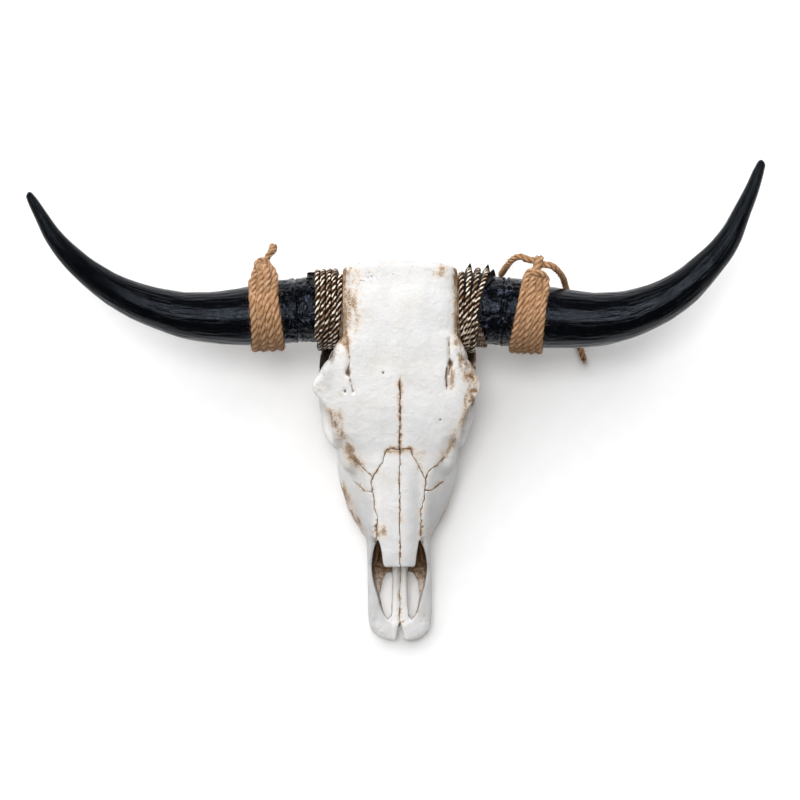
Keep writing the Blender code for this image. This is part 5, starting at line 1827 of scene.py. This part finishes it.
def make_collar(word, material):
    """The leather under the cord, with a torn outer edge and tabs that stand up through it."""
    horn = Horn(word)
    end, inside, outside = COLLAR["span"][1], COLLAR["inside"], COLLAR["inside"] + COLLAR["thickness"]
    sides, rows = ((200, 26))
    angle = np.linspace(0, math.tau, sides, endpoint=False)
    near, far = COLLAR_VISIBLE
    edge = far + (end - far) * rise(np.cos(angle), 0.25, 0.9)
    out = near + (edge - near) * np.linspace(0, 1, rows)[:, None]
    turn = np.broadcast_to(angle, (rows, sides))
    circle = np.stack([np.cos(turn) * 8, np.sin(turn) * 8, out / 6], axis=-1).reshape(-1, 3)
    tear = noise(np.stack([np.cos(angle) * 6, np.sin(angle) * 6, angle * 0], axis=-1), 1.0, 7 + horn.side)
    out = out + rise(out, edge - 9, edge) * (tear * 2.6 - 2.0)[None, :]
    creases = (layers(circle, 2.2, 3, 17 + horn.side) * 0.55).reshape(out.shape)
    lip = 1.1 * rise(out, edge - 12, edge - 3) * (0.5 + 0.5 * np.sin(turn * 7 + 2 * np.sin(turn * 3)))
    top, under = (
        horn.around(out.ravel(), turn.ravel(), lift.ravel()).reshape(rows, sides, 3)
        for lift in (outside + creases + lip, np.full(out.shape, inside))
    )
    points = np.concatenate([top, under[::-1]]).reshape(-1, 3)
    faces = tube_faces(2 * rows, sides)
    j = np.arange(sides)
    k = (j + 1) % sides
    last = (2 * rows - 1) * sides
    faces = np.vstack([faces, np.column_stack([last + j, last + k, k, j])])
    if horn.side < 0:
        faces = faces[:, ::-1]
    for tab_place in COLLAR_TABS[word]:
        more, tab = leather_tab(horn, *tab_place)
        faces = np.vstack([faces, tab + len(points)])
        points = np.vstack([points, more])
    thing = add_mesh(f"horn_collar_{word}_leather", points, faces, material)
    own_node(thing, f"horn_collar_{word}")


def leather_tab(horn, out, angle, tall, taper):
    """A flap that stands off the horn, pointed or blunt by its taper."""
    rows, sides = 9, 14
    rings = []
    for u in np.linspace(0, 1, rows):
        wide = 5.2 * (1 - u) ** taper + 0.25
        thick = 1.5 * (1 - u * 0.6)
        a = np.linspace(0, math.tau, sides, endpoint=False)
        along = out + wide * np.cos(a) + 1.6 * u
        turned = angle + (thick * np.sin(a) + 3.0 * u * u) / 46
        rings.append(horn.around(along, turned, np.full(sides, 1.5 + tall * u)))
    return grid_solid(np.array(rings))


# Stage

def link(name, data):
    """A new object in the scene."""
    thing = bpy.data.objects.new(name, data)
    bpy.context.collection.objects.link(thing)
    return thing


def make_stage(settings):
    """The camera over the skull, the floor, the studio around and two lights."""
    scene = bpy.context.scene
    camera = bpy.data.cameras.new("camera")
    camera.angle = 2 * math.atan(settings.half_view / settings.camera_height)
    scene.camera = link("camera", camera)
    scene.camera.location = (POLL.x, POLL.y - settings.camera_s, settings.camera_height)
    scene.view_settings.view_transform = "Standard"
    mesh = bpy.data.meshes.new("floor")
    mesh.from_pydata([(-9, -9, 0), (9, -9, 0), (9, 9, 0), (-9, 9, 0)], [], [(0, 1, 2, 3)])
    paint = Paint("pale floor")
    grain = paint.noise(40, 3)
    base = paint.mix(paint.span(grain, 0.3, 0.7), settings.floor, tinted(settings.floor, 0.985))
    mesh.materials.append(paint.finish(base, 0.8, paint.bump(grain, 0.0002, 0.1)))
    link("floor", mesh)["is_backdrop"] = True
    studio = bpy.data.worlds.new("studio")
    studio.use_nodes = True
    around = studio.node_tree.nodes["Background"].inputs
    around["Color"].default_value = (1.0, 1.0, 1.0, 1)
    around["Strength"].default_value = settings.surround
    scene.world = studio
    for name, towards, strength, wide, mirrored in (
        ("overhead", (-0.08, 0.16, 1.0), settings.overhead, 21, True),
        ("side light", (-0.22, 0.72, 0.83), settings.key, 76, False),
    ):
        light = bpy.data.lights.new(name, "SUN")
        light.energy = strength
        light.angle = math.radians(wide)
        lamp = link(name, light)
        lamp.visible_glossy = mirrored
        lamp.rotation_euler = Vector(towards).to_track_quat("Z", "Y").to_euler()


# Operators, panel and registration

class SKULL_OT_stage(bpy.types.Operator):
    """Add the floor, the lights and the camera"""
    bl_idname = "skull.stage"
    bl_label = "Stage"

    def execute(self, context):
        make_stage(context.scene.skull_stage)
        return {"FINISHED"}


class SKULL_OT_tails(bpy.types.Operator):
    """Add the free ends of the jute rope"""
    bl_idname = "skull.tails"
    bl_label = "Jute tails"

    def execute(self, context):
        settings = context.scene.skull_rope
        for name in TAILS:
            make_tail(name, settings, jute_material(settings))
        return {"FINISHED"}


class SKULL_OT_jute(bpy.types.Operator):
    """Add the jute wound round the horns and its knots"""
    bl_idname = "skull.jute"
    bl_label = "Jute wraps and knots"

    def execute(self, context):
        settings = context.scene.skull_rope
        for word in SIDES:
            make_jute_wrap(word, settings, jute_material(settings))
            make_jute_knot(word, settings, jute_material(settings))
        return {"FINISHED"}


class SKULL_OT_cords(bpy.types.Operator):
    """Add the twisted cord round the base of the horns"""
    bl_idname = "skull.cords"
    bl_label = "Base cords"

    def execute(self, context):
        settings = context.scene.skull_rope
        colours = (settings.cord_dark, settings.cord_middle, settings.gold)
        material = rope_material("gold-rubbed cord", colours, (0.42, 0.9, 0.8, 1.04), 0.42, 0.7, 0.0003)
        for word in SIDES:
            make_base_cord(word, settings, material)
        return {"FINISHED"}


class SKULL_OT_horns(bpy.types.Operator):
    """Add the horns and their leather collars"""
    bl_idname = "skull.horns"
    bl_label = "Horns and collars"

    def execute(self, context):
        settings = context.scene.skull_horn
        horn, leather = horn_material(settings), leather_material(settings)
        for word in SIDES:
            make_horn(word, settings, horn)
            make_collar(word, leather)
        return {"FINISHED"}


class SKULL_OT_bones(bpy.types.Operator):
    """Add the skull's bones, parted at their sutures"""
    bl_idname = "skull.bones"
    bl_label = "Bones"

    def execute(self, context):
        make_bones(context.scene.skull_bone)
        return {"FINISHED"}


def jute_material(settings):
    found = bpy.data.materials.get("jute rope")
    if found:
        return found
    colours = (settings.jute_dark, settings.jute, settings.jute_pale)
    return rope_material("jute rope", colours, (-0.25, 0.65, 0.7, 1.4), 0.88, 1.7, 0.0009)


class SKULL_PT_panel(bpy.types.Panel):
    bl_label = "Longhorn skull"
    bl_space_type = "VIEW_3D"
    bl_region_type = "UI"
    bl_category = "Longhorn"

    def draw(self, context):
        for group, operators in GROUPS:
            box = self.layout.box()
            for operator in operators:
                box.operator(operator.bl_idname)
            settings = getattr(context.scene, group)
            for key in settings.__annotations__:
                box.prop(settings, key)


SETTINGS = {
    "skull_bone": BoneSettings, "skull_horn": HornSettings, "skull_rope": RopeSettings,
    "skull_stage": StageSettings,
}
GROUPS = (
    ("skull_stage", (SKULL_OT_stage,)),
    ("skull_rope", (SKULL_OT_tails, SKULL_OT_jute, SKULL_OT_cords)),
    ("skull_horn", (SKULL_OT_horns,)),
    ("skull_bone", (SKULL_OT_bones,)),
)
OPERATORS = [operator for _, operators in GROUPS for operator in operators]
CLASSES = (*SETTINGS.values(), *OPERATORS, SKULL_PT_panel)


def register():
    for item in CLASSES:
        bpy.utils.register_class(item)
    for name, group in SETTINGS.items():
        setattr(bpy.types.Scene, name, PointerProperty(type=group))


def unregister():
    for name in SETTINGS:
        delattr(bpy.types.Scene, name)
    for item in reversed(CLASSES):
        bpy.utils.unregister_class(item)


def main():
    register()
    bpy.ops.skull.stage()
    bpy.ops.skull.tails()
    bpy.ops.skull.jute()
    bpy.ops.skull.cords()
    bpy.ops.skull.horns()
    bpy.ops.skull.bones()
    boxes = {"cad": CAD_BOX, "visual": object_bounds()}
    {key: [list(corner) for corner in box] for key, box in boxes.items()}


if __name__ == "__main__":
    main()
